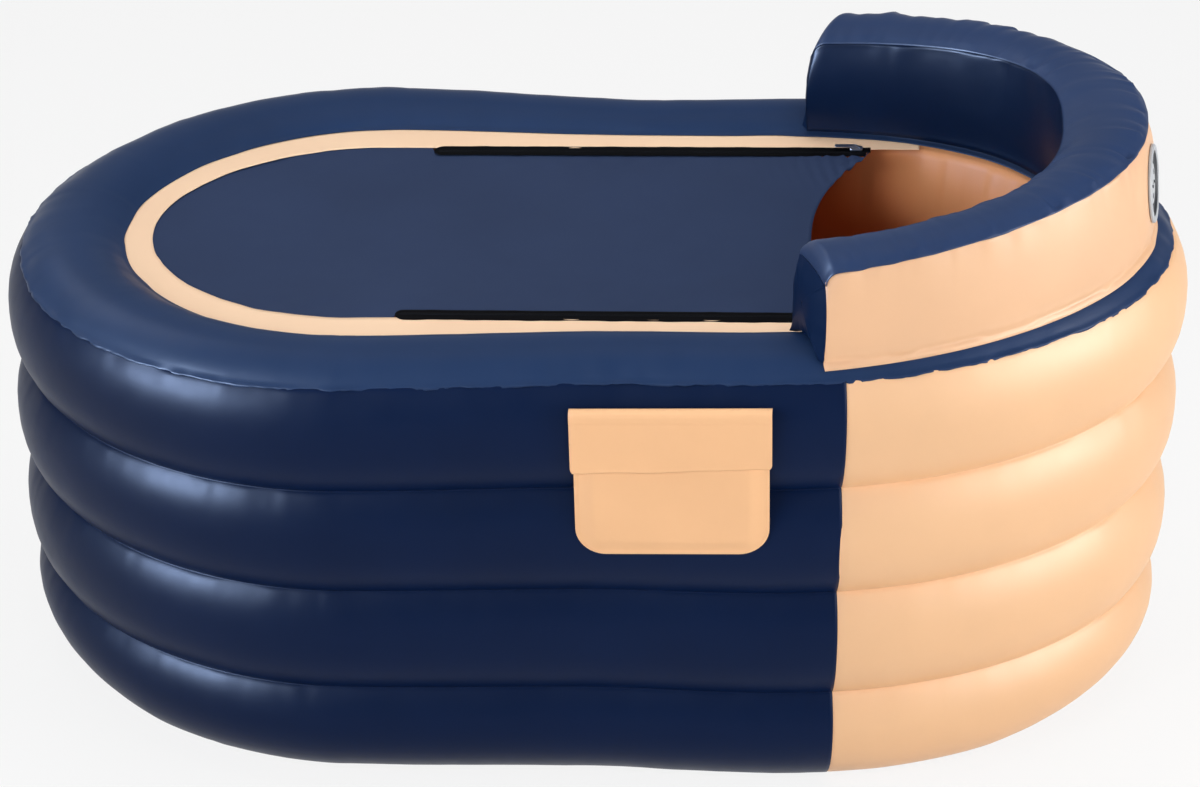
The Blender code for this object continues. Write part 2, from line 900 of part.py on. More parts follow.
# Pocket
def wall_face_y():
    """How far out the near wall's rings reach behind the pocket."""
    near_side = [c for c in front_columns if outer_plan[c].y < 0]
    crest = outer_row(ring_bulge, 0, near_side)
    reach = 0
    for left, right in zip(crest, crest[1:]):
        for edge in (-pocket_width / 2, 0, pocket_width / 2):
            share = (pocket_centre_x + edge - left.x) / (right.x - left.x)
            if 0 <= share <= 1:
                reach = max(reach, abs(left.lerp(right, share).y))
        if abs(right.x - pocket_centre_x) < pocket_width / 2:
            reach = max(reach, abs(right.y))
    return reach


def pocket_loop(z, inset, inner):
    """One level of the pouch: narrower near its rounded bottom corners."""
    bottom = pocket_top_z - pocket_height
    above = z - bottom
    half = pocket_width / 2
    if above < pocket_corner:
        half -= pocket_corner - math.sqrt(max(pocket_corner**2 - (pocket_corner - above) ** 2, 0))
    half -= inset
    back = wall_y + pocket_stand_off + inset
    front = wall_y + pocket_stand_off + pocket_depth - inset
    corner = (front - back) * pocket_edge_share
    height = z + inset if inner and z <= bottom + inset else z
    outline = [(-half, back), (-half, front - corner), (-half + corner, front), (0, front)]
    outline += [(half - corner, front), (half, front - corner), (half, back), (0, back)]
    return [settle(Vector((pocket_centre_x + x, -y, height))) for x, y in outline]


def make_pocket():
    bottom = pocket_top_z - pocket_height
    levels = []
    start = pocket_corner_start_share
    for step in range(pocket_corner_steps + 1):
        angle = quarter_turn * (step + start) / (pocket_corner_steps + start)
        levels.append(bottom + pocket_corner * (1 - math.cos(angle)))
    levels += [bottom + pocket_height / 2, pocket_top_z - pocket_flap_clearance]
    outside = [pocket_loop(z, 0, False) for z in levels]
    inside = [pocket_loop(z, film, True) for z in reversed(levels)]
    inside[-1] = [point + Vector((0, 0, film)) for point in inside[-1]]
    loop_body("pocket_pouch", outside + inside, (peach, 0.5), smooth=False)
    back = wall_y + pocket_stand_off
    hinge_at = settle(Vector((pocket_centre_x, -back, pocket_top_z)))
    hinge = make_empty("pocket_hinge", slope_matrix(hinge_at))
    bpy.context.view_layer.update()
    half = pocket_width / 2 + pocket_flap_overhang
    reach = pocket_depth + pocket_flap_clearance + film
    ease = pocket_flap_clearance
    profile = [(0, ease), (reach / 2, ease + film), (reach, -ease)]
    profile += [(reach + film, -pocket_flap_drop / 2), (reach, -pocket_flap_drop)]
    rows = [[Vector((x, -y, z)) for x in (-half, 0, half)] for y, z in profile]
    film_body("pocket_flap", rows, False, (peach, 0.5), parent=hinge)


# Pump
def sheet_spot(rows, column, height):
    """The point of a sheet between two of its columns, at this height above the wall's top weld."""
    left = int(column)
    part = column - left
    line = [row[left].lerp(row[left + 1], part) for row in rows]
    base = settle(Vector((line[-1].x, 0, wall_height))).z
    for low, high in zip(line, line[1:]):
        if high.z >= base + height > low.z:
            return low.lerp(high, (base + height - low.z) / (high.z - low.z))
    return line[-1]


def pump_frame_matrix(rows):
    """Local Z points out of the backrest and local Y up. The flange's back just clears the film."""
    angles = [stations[c % station_count][1] for c in backrest_columns]
    middle = min(range(len(angles) - 1), key=lambda i: abs((angles[i] + angles[i + 1]) / 2 - pump_angle))
    column = middle + 0.5
    spot = sheet_spot(rows, column, pump_height)
    low = sheet_spot(rows, column, pump_height - pump_flange_radius)
    high = sheet_spot(rows, column, pump_height + pump_flange_radius)
    along = (rows[-1][middle + 1] - rows[-1][middle]).normalized()
    outward = (high - low).normalized().cross(along).normalized()
    outward = outward if outward.x > 0 else -outward
    side = Vector((0, 0, 1)).cross(outward).normalized()
    up = outward.cross(side)
    reach = 0
    for step in range(pump_sides):
        turn = math.tau * step / pump_sides
        for radius in (pump_recess_radius, pump_flange_radius):
            aside = radius * math.cos(turn)
            facet = (rows[-1][middle + 1] - rows[-1][middle]).length
            direction = 1 if along.dot(side) > 0 else -1
            place = column + direction * aside / facet
            point = sheet_spot(rows, place, pump_height + radius * math.sin(turn))
            reach = max(reach, (point - spot).dot(outward))
    frame = Matrix((side, up, outward)).transposed().to_4x4()
    return Matrix.Translation(spot + outward * reach) @ frame


def make_pump(outer_sheet, outer_rows):
    frame = make_empty("pump_frame", pump_frame_matrix(outer_rows))
    bpy.context.view_layer.update()
    cup_radius = pump_recess_radius + pump_wall
    hole_radius = cup_radius + pump_hole_clearance
    flange_back = fit_gap
    flange_front = flange_back + pump_flange_thickness
    bezel = [(cup_radius + fit_gap, flange_back), (pump_flange_radius, flange_back)]
    shoulder = flange_front - pump_rim
    bezel += [(pump_flange_radius, shoulder), (pump_flange_radius - pump_rim, flange_front)]
    bezel += [(cup_radius + fit_gap + pump_rim, flange_front), (cup_radius + fit_gap, shoulder)]
    turned_body("pump_bezel", bezel, pump_sides, (pump_grey, 0.4), True, frame)
    floor_top = shoulder - pump_recess_depth
    floor_low = floor_top - pump_wall
    shaft_hole = knob_shaft_radius + fit_gap
    dish = [(shaft_hole, floor_low), (cup_radius, floor_low), (cup_radius, shoulder)]
    dish += [(pump_recess_radius, shoulder), (pump_recess_radius, floor_top)]
    dish += [(shaft_hole, floor_top)]
    turned_body("pump_dish", dish, pump_sides, (pump_dark, 0.5), True, frame)
    case_front = floor_low - fit_gap
    make_pump_case(frame, case_front)
    make_knob(frame, floor_top, floor_low)
    make_pump_works(frame, case_front)
    cutter = bmesh.new()
    bmesh.ops.create_cone(
        cutter,
        cap_ends=True,
        segments=pump_hidden_sides,
        radius1=hole_radius,
        radius2=hole_radius,
        depth=2 * pump_recess_radius,
    )
    cut_with(outer_sheet, make_object("pump_hole", cutter, (peach, 0.5), frame))


def make_pump_case(frame, front):
    """A cup behind the dish, open at the back only at its air outlet."""
    back = front - case_depth
    inside = case_radius - case_wall
    cup = [(case_outlet_radius, back), (case_radius, back), (case_radius, front)]
    cup += [(inside, front), (inside, back + case_wall), (case_outlet_radius, back + case_wall)]
    turned_body("pump_case", cup, pump_hidden_sides, (pump_dark, 0.5), True, frame)


def make_knob(frame, floor_top, floor_low):
    """The selector: a disc with a raised bow-tie grip, two air ports and a shaft through the dish."""
    low = floor_top + fit_gap
    high = low + knob_thickness
    tail = floor_low - case_wall
    profile = [(knob_shaft_radius, tail), (knob_shaft_radius, low), (knob_radius, low)]
    profile += [(knob_radius, high - knob_edge), (knob_radius - knob_edge, high)]
    profile += [(knob_shaft_radius, high)]
    pivot = make_empty("knob_frame", frame.matrix_world.copy(), frame)
    bpy.context.view_layer.update()
    knob = turned_body("pump_knob", profile, pump_sides, (pump_grey, 0.4), False, pivot)
    half = knob_grip_length / 2
    narrow = knob_grip_width / 2
    outline = [(-half, -knob_grip_width), (0, -narrow), (half, -knob_grip_width)]
    outline += [(half, knob_grip_width), (0, narrow), (-half, knob_grip_width)]
    levels = (high - knob_grip_height, high + knob_grip_height)
    grip = [[Vector((x, y, z)) for x, y in outline] for z in levels]
    join_with(knob, loop_body("knob_grip", grip, (pump_grey, 0.4), parent=pivot, smooth=False))
    ports = bmesh.new()
    for sign in (-1, 1):
        bmesh.ops.create_cone(
            ports,
            cap_ends=True,
            segments=pump_hidden_sides,
            radius1=knob_port_radius,
            radius2=knob_port_radius,
            depth=2 * knob_port_depth,
            matrix=Matrix.Translation((0, sign * knob_port_offset, high)),
        )
    cut_with(knob, make_object("knob_ports", ports, (pump_dark, 0.5), pivot))


def make_pump_works(frame, case_front):
    """The mount, motor, impeller, battery and board in the case, and the non-return flap behind it."""
    inside_radius = case_radius - case_wall
    mount_high = case_front - case_depth * mount_depth_share
    mount_low = mount_high - mount_thickness
    hole = motor_radius + fit_gap
    plate = [(hole, mount_low), (inside_radius - fit_gap, mount_low)]
    plate += [(inside_radius - fit_gap, mount_high), (hole, mount_high)]
    turned_body("pump_motor_mount", plate, pump_hidden_sides, (pump_dark, 0.5), True, frame)
    motor_front = mount_low + motor_length
    motor = [(motor_shaft_radius, mount_low), (motor_radius, mount_low), (motor_radius, motor_front)]
    motor += [(motor_shaft_radius, motor_front)]
    turned_body("pump_motor", motor, pump_hidden_sides, (steel, 0.35, 1.0), False, frame)
    pivot = make_empty("impeller_frame", frame.matrix_world.copy(), frame)
    bpy.context.view_layer.update()
    disc_high = mount_low - fit_gap - impeller_thickness
    disc_low = disc_high - impeller_thickness
    blade_low = disc_low - impeller_blade_height
    wheel = [(impeller_hub_radius, blade_low), (impeller_hub_radius, disc_low)]
    wheel += [(impeller_radius, disc_low), (impeller_radius, disc_high)]
    wheel += [(impeller_hub_radius, disc_high), (impeller_hub_radius, mount_low - fit_gap)]
    impeller = turned_body("pump_impeller", wheel, pump_hidden_sides, (pump_grey, 0.5), False, pivot)
    blades = bmesh.new()
    for blade in range(impeller_blades):
        turn = Matrix.Rotation(math.tau * blade / impeller_blades, 4, "Z")
        start = impeller_hub_radius / 2
        length = impeller_radius - start - impeller_thickness
        size = (length, impeller_blade_thickness, impeller_blade_height + impeller_thickness / 2)
        centre = (start + length / 2, 0, disc_low - impeller_blade_height / 2 + impeller_thickness / 4)
        made = bmesh.ops.create_cube(blades, size=1)
        shape = turn @ Matrix.Translation(centre) @ Matrix.Diagonal((*size, 1))
        bmesh.ops.transform(blades, matrix=shape, verts=made["verts"])
    join_with(impeller, make_object("impeller_blades", blades, (pump_grey, 0.5), pivot, smooth=False))
    for name, size, offset, look in (
        ("pump_battery", battery_size, battery_offset, (cover_navy, 0.4)),
        ("pump_circuit_board", board_size, board_offset, (board_green, 0.5)),
    ):
        centre = (offset, 0, mount_high + fit_gap + size[2] / 2)
        loop_body(name, box_loops(size, centre), look, parent=frame, smooth=False)
    case_back = case_front - case_depth
    hinge_point_y = check_flap_radius
    flap_high = case_back - fit_gap
    flap_frame = make_empty(
        "check_flap_frame",
        frame.matrix_world @ Matrix.Translation((0, hinge_point_y, flap_high - check_flap_thickness / 2)),
        frame,
    )
    bpy.context.view_layer.update()
    half = check_flap_thickness / 2
    discs = [
        circle(check_flap_radius, z, pump_hidden_sides, (0, -hinge_point_y)) for z in (-half, half)
    ]
    loop_body("pump_check_flap", discs, (zip_black, 0.7), parent=flap_frame)


# Drain
def drain_matrix():
    """Local Z points out through the far wall. Its origin just clears the outer film."""
    z = ring_height / 2
    far_side = [c for c in every_column if outer_plan[c].y > 0]
    station = min(far_side, key=lambda c: abs(outer_plan[c].x - drain_x))
    around = [station - 1, station, station + 1]
    outside = outer_row(ring_offset(0, z / ring_height), z, around)
    inside = inner_row(-inner_bulge, z, around)
    outward = (outside[2] - outside[0]).cross(Vector((0, 0, -1))).normalized()
    outward = outward if outward.y > 0 else -outward
    reach = max((point - outside[1]).dot(outward) for point in outside)
    depth = max((outside[1] - point).dot(outward) for point in inside) + reach
    side = Vector((0, 0, 1)).cross(outward)
    frame = Matrix((side, Vector((0, 0, 1)), outward)).transposed().to_4x4()
    return Matrix.Translation(outside[1] + outward * reach) @ frame, depth


def make_drain(front_wall, inner_wall):
    matrix, reach = drain_matrix()
    frame = make_empty("drain_frame", matrix)
    bpy.context.view_layer.update()
    tube = drain_bore + drain_tube_wall
    seat = 2 * fit_gap
    inner_seat = -reach - drain_inner_seat
    low = inner_seat - drain_flange_thickness
    high = seat + drain_flange_thickness
    sleeve = [(drain_bore, low), (drain_flange_radius, low), (drain_flange_radius, inner_seat)]
    sleeve += [(tube, inner_seat), (tube, seat), (drain_flange_radius, seat)]
    sleeve += [(drain_flange_radius, high), (drain_bore, high)]
    turned_body("drain_sleeve", sleeve, drain_sides, (peach, 0.5), True, frame)
    cutter = bmesh.new()
    bmesh.ops.create_cone(
        cutter,
        cap_ends=True,
        segments=drain_sides,
        radius1=tube + pump_hole_clearance,
        radius2=tube + pump_hole_clearance,
        depth=2 * reach,
        matrix=Matrix.Translation((0, 0, -reach / 2)),
    )
    hole = make_object("drain_hole", cutter, (peach, 0.5), frame)
    cut_with(front_wall, hole)
    cut_with(inner_wall, hole)
    cap_low = high + fit_gap
    cap_inner = drain_bore - fit_gap
    cap = [(cap_inner - drain_cap_wall, high - drain_cap_skirt), (cap_inner, high - drain_cap_skirt)]
    cap += [(cap_inner, cap_low), (drain_cap_radius, cap_low)]
    cap += [(drain_cap_radius, cap_low + drain_cap_wall), (drain_bore / 2, cap_low + drain_cap_wall)]
    turned_body("drain_cap", cap, drain_sides, (navy, 0.4), False, frame)
    plug_seat = low - fit_gap
    plug = [(drain_bore - fit_gap, plug_seat + drain_plug_length), (drain_bore - fit_gap, plug_seat)]
    plug += [(drain_plug_head_radius, plug_seat)]
    plug += [(drain_plug_head_radius, plug_seat - drain_plug_head_thickness)]
    plug += [(drain_plug_grip_width, plug_seat - drain_plug_head_thickness)]
    plug += [(drain_plug_grip_width, plug_seat - drain_plug_grip_height)]
    turned_body("drain_plug", plug, drain_sides, (navy, 0.5), False, frame)


clear_scene()
wall_y = wall_face_y()
front_wall = make_wall()
make_top_panel()
inner_sheet = make_inner_wall()
make_webs()
backrest_sheet, backrest_outer_rows = make_backrest()
make_border()
cover_hinge = make_cover()
make_zips(cover_hinge)
make_pocket()
make_pump(backrest_sheet, backrest_outer_rows)
make_drain(front_wall, inner_sheet)
bpy.context.view_layer.update()
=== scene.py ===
import math

import bmesh
import bpy
import numpy as np
from mathutils import Matrix, Vector


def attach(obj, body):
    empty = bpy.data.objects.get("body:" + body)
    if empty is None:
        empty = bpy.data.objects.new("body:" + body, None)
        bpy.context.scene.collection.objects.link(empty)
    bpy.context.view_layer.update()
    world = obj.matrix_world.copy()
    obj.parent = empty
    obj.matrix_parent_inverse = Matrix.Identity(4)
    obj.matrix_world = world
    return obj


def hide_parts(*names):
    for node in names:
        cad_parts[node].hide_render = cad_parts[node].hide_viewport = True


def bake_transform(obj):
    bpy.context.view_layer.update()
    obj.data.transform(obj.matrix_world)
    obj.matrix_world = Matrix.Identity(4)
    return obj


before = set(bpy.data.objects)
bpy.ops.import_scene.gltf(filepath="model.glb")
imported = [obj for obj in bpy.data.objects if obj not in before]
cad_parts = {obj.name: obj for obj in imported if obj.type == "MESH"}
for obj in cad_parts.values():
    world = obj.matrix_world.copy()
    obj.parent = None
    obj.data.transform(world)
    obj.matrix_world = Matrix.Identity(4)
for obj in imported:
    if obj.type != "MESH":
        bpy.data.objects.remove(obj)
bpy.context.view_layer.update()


# Camera
# A long lens from the near side, a little towards the head end and well above the rim.
camera_place = (0.33579, -4.13075, 3.07551)
camera_target = (0.0106, 0.0013, 0.3838)


def add_item(name, data):
    """Puts a camera, a lamp or a mesh into the scene."""
    item = bpy.data.objects.new(name, data)
    bpy.context.scene.collection.objects.link(item)
    return item


def aim(item, place, target):
    """Stands a camera or a lamp at a place and turns it to a target."""
    item.location = place
    item.rotation_mode = "QUATERNION"
    item.rotation_quaternion = (Vector(target) - Vector(place)).to_track_quat("-Z", "Y")


camera_data = bpy.data.cameras.new("tub_camera")
camera_data.lens = 106.44
camera_data.sensor_width = 36
camera_data.clip_end = 60
camera = add_item("tub_camera", camera_data)
aim(camera, camera_place, camera_target)
bpy.context.scene.camera = camera


# Studio
# A white floor without a visible edge, in a room that is dim in front. Broad washes of light overhead, at
# both ends and in front leave no glint of their own. Three smaller boxes give only the glints on the film.
def soft_box(name, place, target, size, watts, glints=True, wash=True, colour=(1, 1, 1)):
    lamp = bpy.data.lights.new(name, "AREA")
    lamp.shape = "RECTANGLE"
    lamp.size, lamp.size_y = size
    lamp.energy = watts
    lamp.color = colour
    item = add_item(name, lamp)
    aim(item, place, target)
    item.visible_glossy = glints
    item.visible_diffuse = wash


sky_blue = (0.5, 0.66, 1)
soft_box("glint_foot_end", (-2.7, -2.0, 1.5), (-0.4, 0, 0.4), (1.1, 1.1), 640, wash=False, colour=sky_blue)
soft_box("glint_above", (-2.2, 0.8, 2.6), (-0.2, 0, 0.4), (1.6, 1.4), 20, wash=False)
soft_box("glint_head_end", (3.2, -1.2, 1.3), (0.5, 0, 0.45), (2.0, 1.6), 95, wash=False)
soft_box("wash_head_end", (2.9, -0.9, 1.1), (0.5, 0, 0.45), (2.2, 1.8), 45, glints=False)
soft_box("wash_above", (0.1, 0.3, 3.3), (0.1, 0, 0.3), (3.0, 2.2), 48, glints=False)
soft_box("wash_foot_end", (-2.7, -2.0, 1.6), (-0.2, 0, 0.3), (1.6, 1.4), 22, glints=False)
soft_box("wash_key", (-2.0, -3.2, 2.7), (0.2, 0, 0.4), (1.2, 1.2), 42, glints=False)
soft_box("wash_front", (1.0, -4.0, 2.4), (0.1, 0, 0.3), (3.4, 2.6), 48, glints=False)


def set_inputs(node, **inputs):
    """Sets a shader node's inputs. An underscore stands for the space in an input's name."""
    for name, value in inputs.items():
        node.inputs[name.replace("_", " ")].default_value = value


def add_node(tree, kind, **inputs):
    node = tree.nodes.new(kind)
    set_inputs(node, **inputs)
    return node


def add_maths(tree, operation, second=0.5):
    """A node that works out one number. Its second number is set here where no link gives it."""
    node = tree.nodes.new("ShaderNodeMath")
    node.operation = operation
    node.inputs[1].default_value = second
    return node


def wire(tree, *links):
    """Links, each given as a node, its output, the next node and that node's input."""
    for source, output, target, entry in links:
        tree.links.new(source.outputs[output], target.inputs[entry])


def new_finish(name):
    """A material with its node tree and its main shader."""
    material = bpy.data.materials.new(name)
    material.use_nodes = True
    return material, material.node_tree, material.node_tree.nodes["Principled BSDF"]


world = bpy.data.worlds.new("studio_air")
world.use_nodes = True
bpy.context.scene.world = world
bpy.context.scene.view_settings.view_transform = "Standard"
air = world.node_tree
air_light = air.nodes["Background"]
set_inputs(air_light, Color=(0.97, 0.98, 1, 1))
air_place = add_node(air, "ShaderNodeTexCoord")
air_split = add_node(air, "ShaderNodeSeparateXYZ")
air_front = add_node(air, "ShaderNodeMapRange", From_Min=-0.5, From_Max=0.8, To_Min=0.06, To_Max=0.42)
air_low = add_node(air, "ShaderNodeMapRange", From_Min=0, From_Max=0.08, To_Min=0.6, To_Max=0)
air_level = add_maths(air, "MAXIMUM")
wire(
    air,
    (air_place, "Generated", air_split, 0),
    (air_split, "Y", air_front, "Value"),
    (air_split, "Z", air_low, "Value"),
    (air_front, "Result", air_level, 0),
    (air_low, "Result", air_level, 1),
    (air_level, 0, air_light, "Strength"),
)

floor_half = 14
floor_mesh = bpy.data.meshes.new("studio_floor")
floor_corners = [(-floor_half, -floor_half), (floor_half, -floor_half)]
floor_corners += [(floor_half, floor_half), (-floor_half, floor_half)]
floor_mesh.from_pydata([(x, y, 0) for x, y in floor_corners], [], [(0, 1, 2, 3)])
studio_floor = add_item("studio_floor", floor_mesh)
floor_paint, paint, floor_shader = new_finish("floor_paint")
set_inputs(floor_shader, Base_Color=(0.75, 0.75, 0.75, 1), Roughness=0.9, Specular_IOR_Level=0)
floor_glow = add_node(paint, "ShaderNodeEmission", Strength=1)
floor_mix = add_node(paint, "ShaderNodeMixShader")
floor_path = add_node(paint, "ShaderNodeLightPath")
floor_seen = add_maths(paint, "MAXIMUM")
floor_glossy = add_maths(paint, "MAXIMUM")
floor_part = add_maths(paint, "MULTIPLY", 0.84)
wire(
    paint,
    (floor_path, "Is Camera Ray", floor_seen, 0),
    (floor_path, "Is Transmission Ray", floor_seen, 1),
    (floor_seen, 0, floor_glossy, 0),
    (floor_path, "Is Glossy Ray", floor_glossy, 1),
    (floor_glossy, 0, floor_part, 0),
    (floor_part, 0, floor_mix, "Fac"),
    (floor_shader, 0, floor_mix, 1),
    (floor_glow, 0, floor_mix, 2),
    (floor_mix, 0, paint.nodes["Material Output"], "Surface"),
)
floor_mesh.materials.append(floor_paint)


# Outer wall
# Two sheets of vinyl film, navy round the foot and both sides and apricot round the head, heat-welded
# to the three webs inside, so that the blown-up wall stands in four rolls with a crease at each weld.
film = 0.0005
seam_spacing = 0.002
half_length, half_width = 0.776, 0.401
foot_end_depth, head_end_depth = 0.479, 0.657
waist_depth, waist_x, waist_reach = 0.026, 0.090, 0.28
far_draw, far_draw_start = 0.015, 0.3
head_rise_share = 0.047
wall_height = 0.646
head_t = 3.5
ring_count = 4
ring_height = wall_height / ring_count
ring_bulge = 0.024
ring_fullness = 2.4
ring_rows = 14
row_gather = 0.075
slow_length, slow_height = 0.30, 0.0018
base_tuck, end_tuck = 0.035, 0.020
end_tuck_start, end_tuck_run = 0.58, 0.17
base_weld, floor_gap = 0.007, 0.0009
weld_reach, beside_weld = 0.0018, 0.0018
fold_start, calm_length = 0.004, 0.03
top_fold_reach, top_pucker = 0.011, 1.6
least_pucker, tightest_bend = 0.45, 3.0
wall_joint_x = 0.350
wall_column = 0.0044
navy = (0.0016, 0.0098, 0.045)
apricot = (0.85, 0.500, 0.262)


def plan_line(t, length, width, foot_depth, head_depth, power):
    """Points of a plan for t from 0 to 4: near side, foot end, far side, head end."""
    t = np.mod(t, 4)
    head_middle, foot_middle = length - head_depth, foot_depth - length
    share = np.where(t < 2, 1 - t, t - 2)
    foot_turn = -math.pi / 2 + math.pi * np.clip(t - 1, 0, 1)
    head_turn = math.pi / 2 - math.pi * np.clip(t - 3, 0, 1)
    head_cos = np.abs(np.cos(head_turn)) ** (2 / power)
    head_sin = np.sign(np.sin(head_turn)) * np.abs(np.sin(head_turn)) ** (2 / power)
    on_foot, on_head = (t >= 1) & (t < 2), t >= 3
    side_x = foot_middle + (head_middle - foot_middle) * share
    x = np.where(on_head, head_middle + head_depth * head_cos, side_x)
    x = np.where(on_foot, foot_middle - foot_depth * np.cos(foot_turn), x)
    y = np.where(on_head, width * head_sin, np.where(t < 1, -width, width))
    y = np.where(on_foot, width * np.sin(foot_turn), y)
    waist = waist_depth * np.exp(-(((x - waist_x) / waist_reach) ** 2))
    return np.stack([x, y * (1 - waist / half_width)], -1)


def outer_plan(t):
    """The plan of the wall's welds, drawn in a little in the middle of the far side."""
    line = plan_line(t, half_length, half_width, foot_end_depth, head_end_depth, 2)
    drawn_in = far_draw * np.exp(-(((line[:, 0] - waist_x) / waist_reach) ** 2)) * (line[:, 1] > 0)
    line[:, 1] -= drawn_in * np.clip(line[:, 1] / far_draw_start, 0, 1)
    return line


def run_along(line):
    """The distance from the start of a line to each of its points."""
    return np.concatenate([[0], np.cumsum(np.linalg.norm(np.diff(line, axis=0), axis=1))])


def stations_between(start, end, spacing):
    """Values of t at even distances along the outer plan, and those distances. The end may pass 4."""
    fine = np.linspace(start, end, 8000)
    run = run_along(outer_plan(fine))
    places = np.linspace(0, run[-1], int(run[-1] / spacing) + 1)
    return np.interp(places, run, fine), places


def outward(plan, t):
    """The level direction that points out of a plan at each t."""
    along = plan(t + 2e-3) - plan(t - 2e-3)
    along /= np.linalg.norm(along, axis=1)[:, None]
    return np.stack([-along[:, 1], along[:, 0]], -1)


def settle(points):
    """The tub rises gently towards its head end."""
    points = np.array(points, float)
    points[..., 2] *= 1 + head_rise_share * points[..., 0] / half_length
    return points


def row_of(x, y, z):
    """A row of points. A coordinate that is a single number is the same all along it."""
    return np.column_stack(np.broadcast_arrays(x, y, z))


def plan_row(plan, t, offset, height):
    """A row that follows a plan, offset outward, at a height. Both may vary along it."""
    flat = plan(t) + outward(plan, t) * np.broadcast_to(offset, len(t))[:, None]
    return row_of(*flat.T, height)


def ripple(seed, places, length):
    """Smooth random folds along a seam, from -1 to 1, about one length apart."""
    source = np.random.default_rng(seed)
    knots = max(4, int(round(places[-1] / length)))
    values = source.uniform(-1, 1, knots + 1)
    values[-1] = values[0]
    spots = np.linspace(0, places[-1], knots + 1)
    spots[1:-1] += source.uniform(-0.3, 0.3, knots - 1) * places[-1] / knots
    low = np.clip(np.searchsorted(spots, places, side="right") - 1, 0, knots - 1)
    part = np.clip((places - spots[low]) / (spots[low + 1] - spots[low]), 0, 1)
    return values[low] + (values[low + 1] - values[low]) * part * part * (3 - 2 * part)


def folds(places, *waves):
    """Folds of several lengths along a seam. Each wave is a seed, a length and a height."""
    return sum(ripple(seed, places, length) * height for seed, length, height in waves)


def beside_seam(fold, away, reach, start):
    """A fold at a distance from its seam: none on the seam, most just beside it, and less further off."""
    return fold * math.exp(-away / reach) * min(1, away / start)


def film_sheet(name, rows, material, closed=False, inside=False, thickness=film):
    """A sheet of film through rows of points, with its thickness behind the side that shows."""
    grid = np.asarray(rows)
    count, columns = grid.shape[:2]
    reach = columns if closed else columns - 1
    r, c = np.meshgrid(np.arange(count - 1), np.arange(reach), indexing="ij")
    n = (c + 1) % columns
    corners = [r * columns + c, r * columns + n, (r + 1) * columns + n, (r + 1) * columns + c]
    faces = np.stack(corners if inside else corners[::-1], -1).reshape(-1, 4)
    mesh = bpy.data.meshes.new(name)
    mesh.from_pydata(grid.reshape(-1, 3).tolist(), [], faces.tolist())
    mesh.shade_smooth()
    mesh.materials.append(material)
    item = add_item(name, mesh)
    solid = item.modifiers.new("film", "SOLIDIFY")
    solid.thickness = thickness
    solid.offset = -1
    return item


def seat_at(place, right, up, out):
    """The frame of a fitting: where it sits, and which way its own X, Y and Z point."""
    return Matrix((*zip(right, up, out, place), (0, 0, 0, 1)))


def lay_flat(points, seat, level, inner, outer):
    """Draws a film flat round a fitting: level inside the inner radius, and as it was past the outer one."""
    grid = np.asarray(points, float)
    turn, shift = np.array(seat.to_3x3()), np.array(seat.translation)
    local = (grid - shift) @ turn
    away = np.hypot(local[..., 0], local[..., 1])
    hold = np.clip((outer - away) / (outer - inner), 0, 1) * (np.abs(local[..., 2] - level) < inner)
    hold = hold * hold * (3 - 2 * hold)
    local[..., 2] += (level - local[..., 2]) * hold
    return local @ turn.T + shift


def keep_shape(piece):
    """Gives a piece the mesh that its modifiers make."""
    bpy.context.view_layer.update()
    shape = bpy.data.meshes.new_from_object(piece.evaluated_get(bpy.context.evaluated_depsgraph_get()))
    piece.modifiers.clear()
    piece.data = shape


def bore(piece, seat, radius, low, high, sides=48):
    """Cuts a round hole through a film for a fitting."""
    work = bmesh.new()
    middle = seat @ Matrix.Translation((0, 0, (low + high) / 2))
    bmesh.ops.create_cone(
        work, cap_ends=True, segments=sides, radius1=radius, radius2=radius, depth=high - low, matrix=middle
    )
    mesh = bpy.data.meshes.new("bore")
    work.to_mesh(mesh)
    work.free()
    tool = add_item("bore", mesh)
    cut = piece.modifiers.new("bore", "BOOLEAN")
    cut.operation, cut.solver, cut.object = "DIFFERENCE", "EXACT", tool
    keep_shape(piece)
    bpy.data.objects.remove(tool, do_unlink=True)


def settle_in(piece, body, node):
    """Hides the node that a piece stands for, and fixes the piece to the body it moves with."""
    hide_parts(node)
    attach(piece, body)


def film_finish(
    name, colour, roughness, shine=0.15, drift=0.06, grain=0.00006, crumple=0.0004, crumple_scale=26
):
    """Vinyl film: a colour that drifts a little, a fine pressed grain, faint crumpling and a broad sheen."""
    material, tree, shader = new_finish(name)
    set_inputs(shader, Specular_IOR_Level=shine)
    place = add_node(tree, "ShaderNodeTexCoord")

    def noise(scale, detail):
        node = add_node(tree, "ShaderNodeTexNoise", Scale=scale, Detail=detail)
        wire(tree, (place, "Object", node, "Vector"))
        return node

    tone_scale, gloss_scale, grain_scale = 6, 34, 700
    tone = add_node(tree, "ShaderNodeValToRGB")
    low, high = tone.color_ramp.elements
    low.position, high.position = 0.3, 0.7
    low.color = (*(c * (1 - drift) for c in colour), 1)
    high.color = (*(min(1, c * (1 + drift)) for c in colour), 1)
    gloss = add_node(tree, "ShaderNodeMapRange", To_Min=roughness - 0.06, To_Max=roughness + 0.06)
    crumpled = add_node(tree, "ShaderNodeBump", Strength=0.6, Distance=crumple)
    pressed = add_node(tree, "ShaderNodeBump", Strength=0.5, Distance=grain)
    wire(
        tree,
        (noise(tone_scale, 3), "Fac", tone, "Fac"),
        (tone, "Color", shader, "Base Color"),
        (noise(gloss_scale, 4), "Fac", gloss, "Value"),
        (gloss, "Result", shader, "Roughness"),
        (noise(crumple_scale, 2), "Fac", crumpled, "Height"),
        (noise(grain_scale, 2), "Fac", pressed, "Height"),
        (crumpled, "Normal", pressed, "Normal"),
        (pressed, "Normal", shader, "Normal"),
    )
    return material


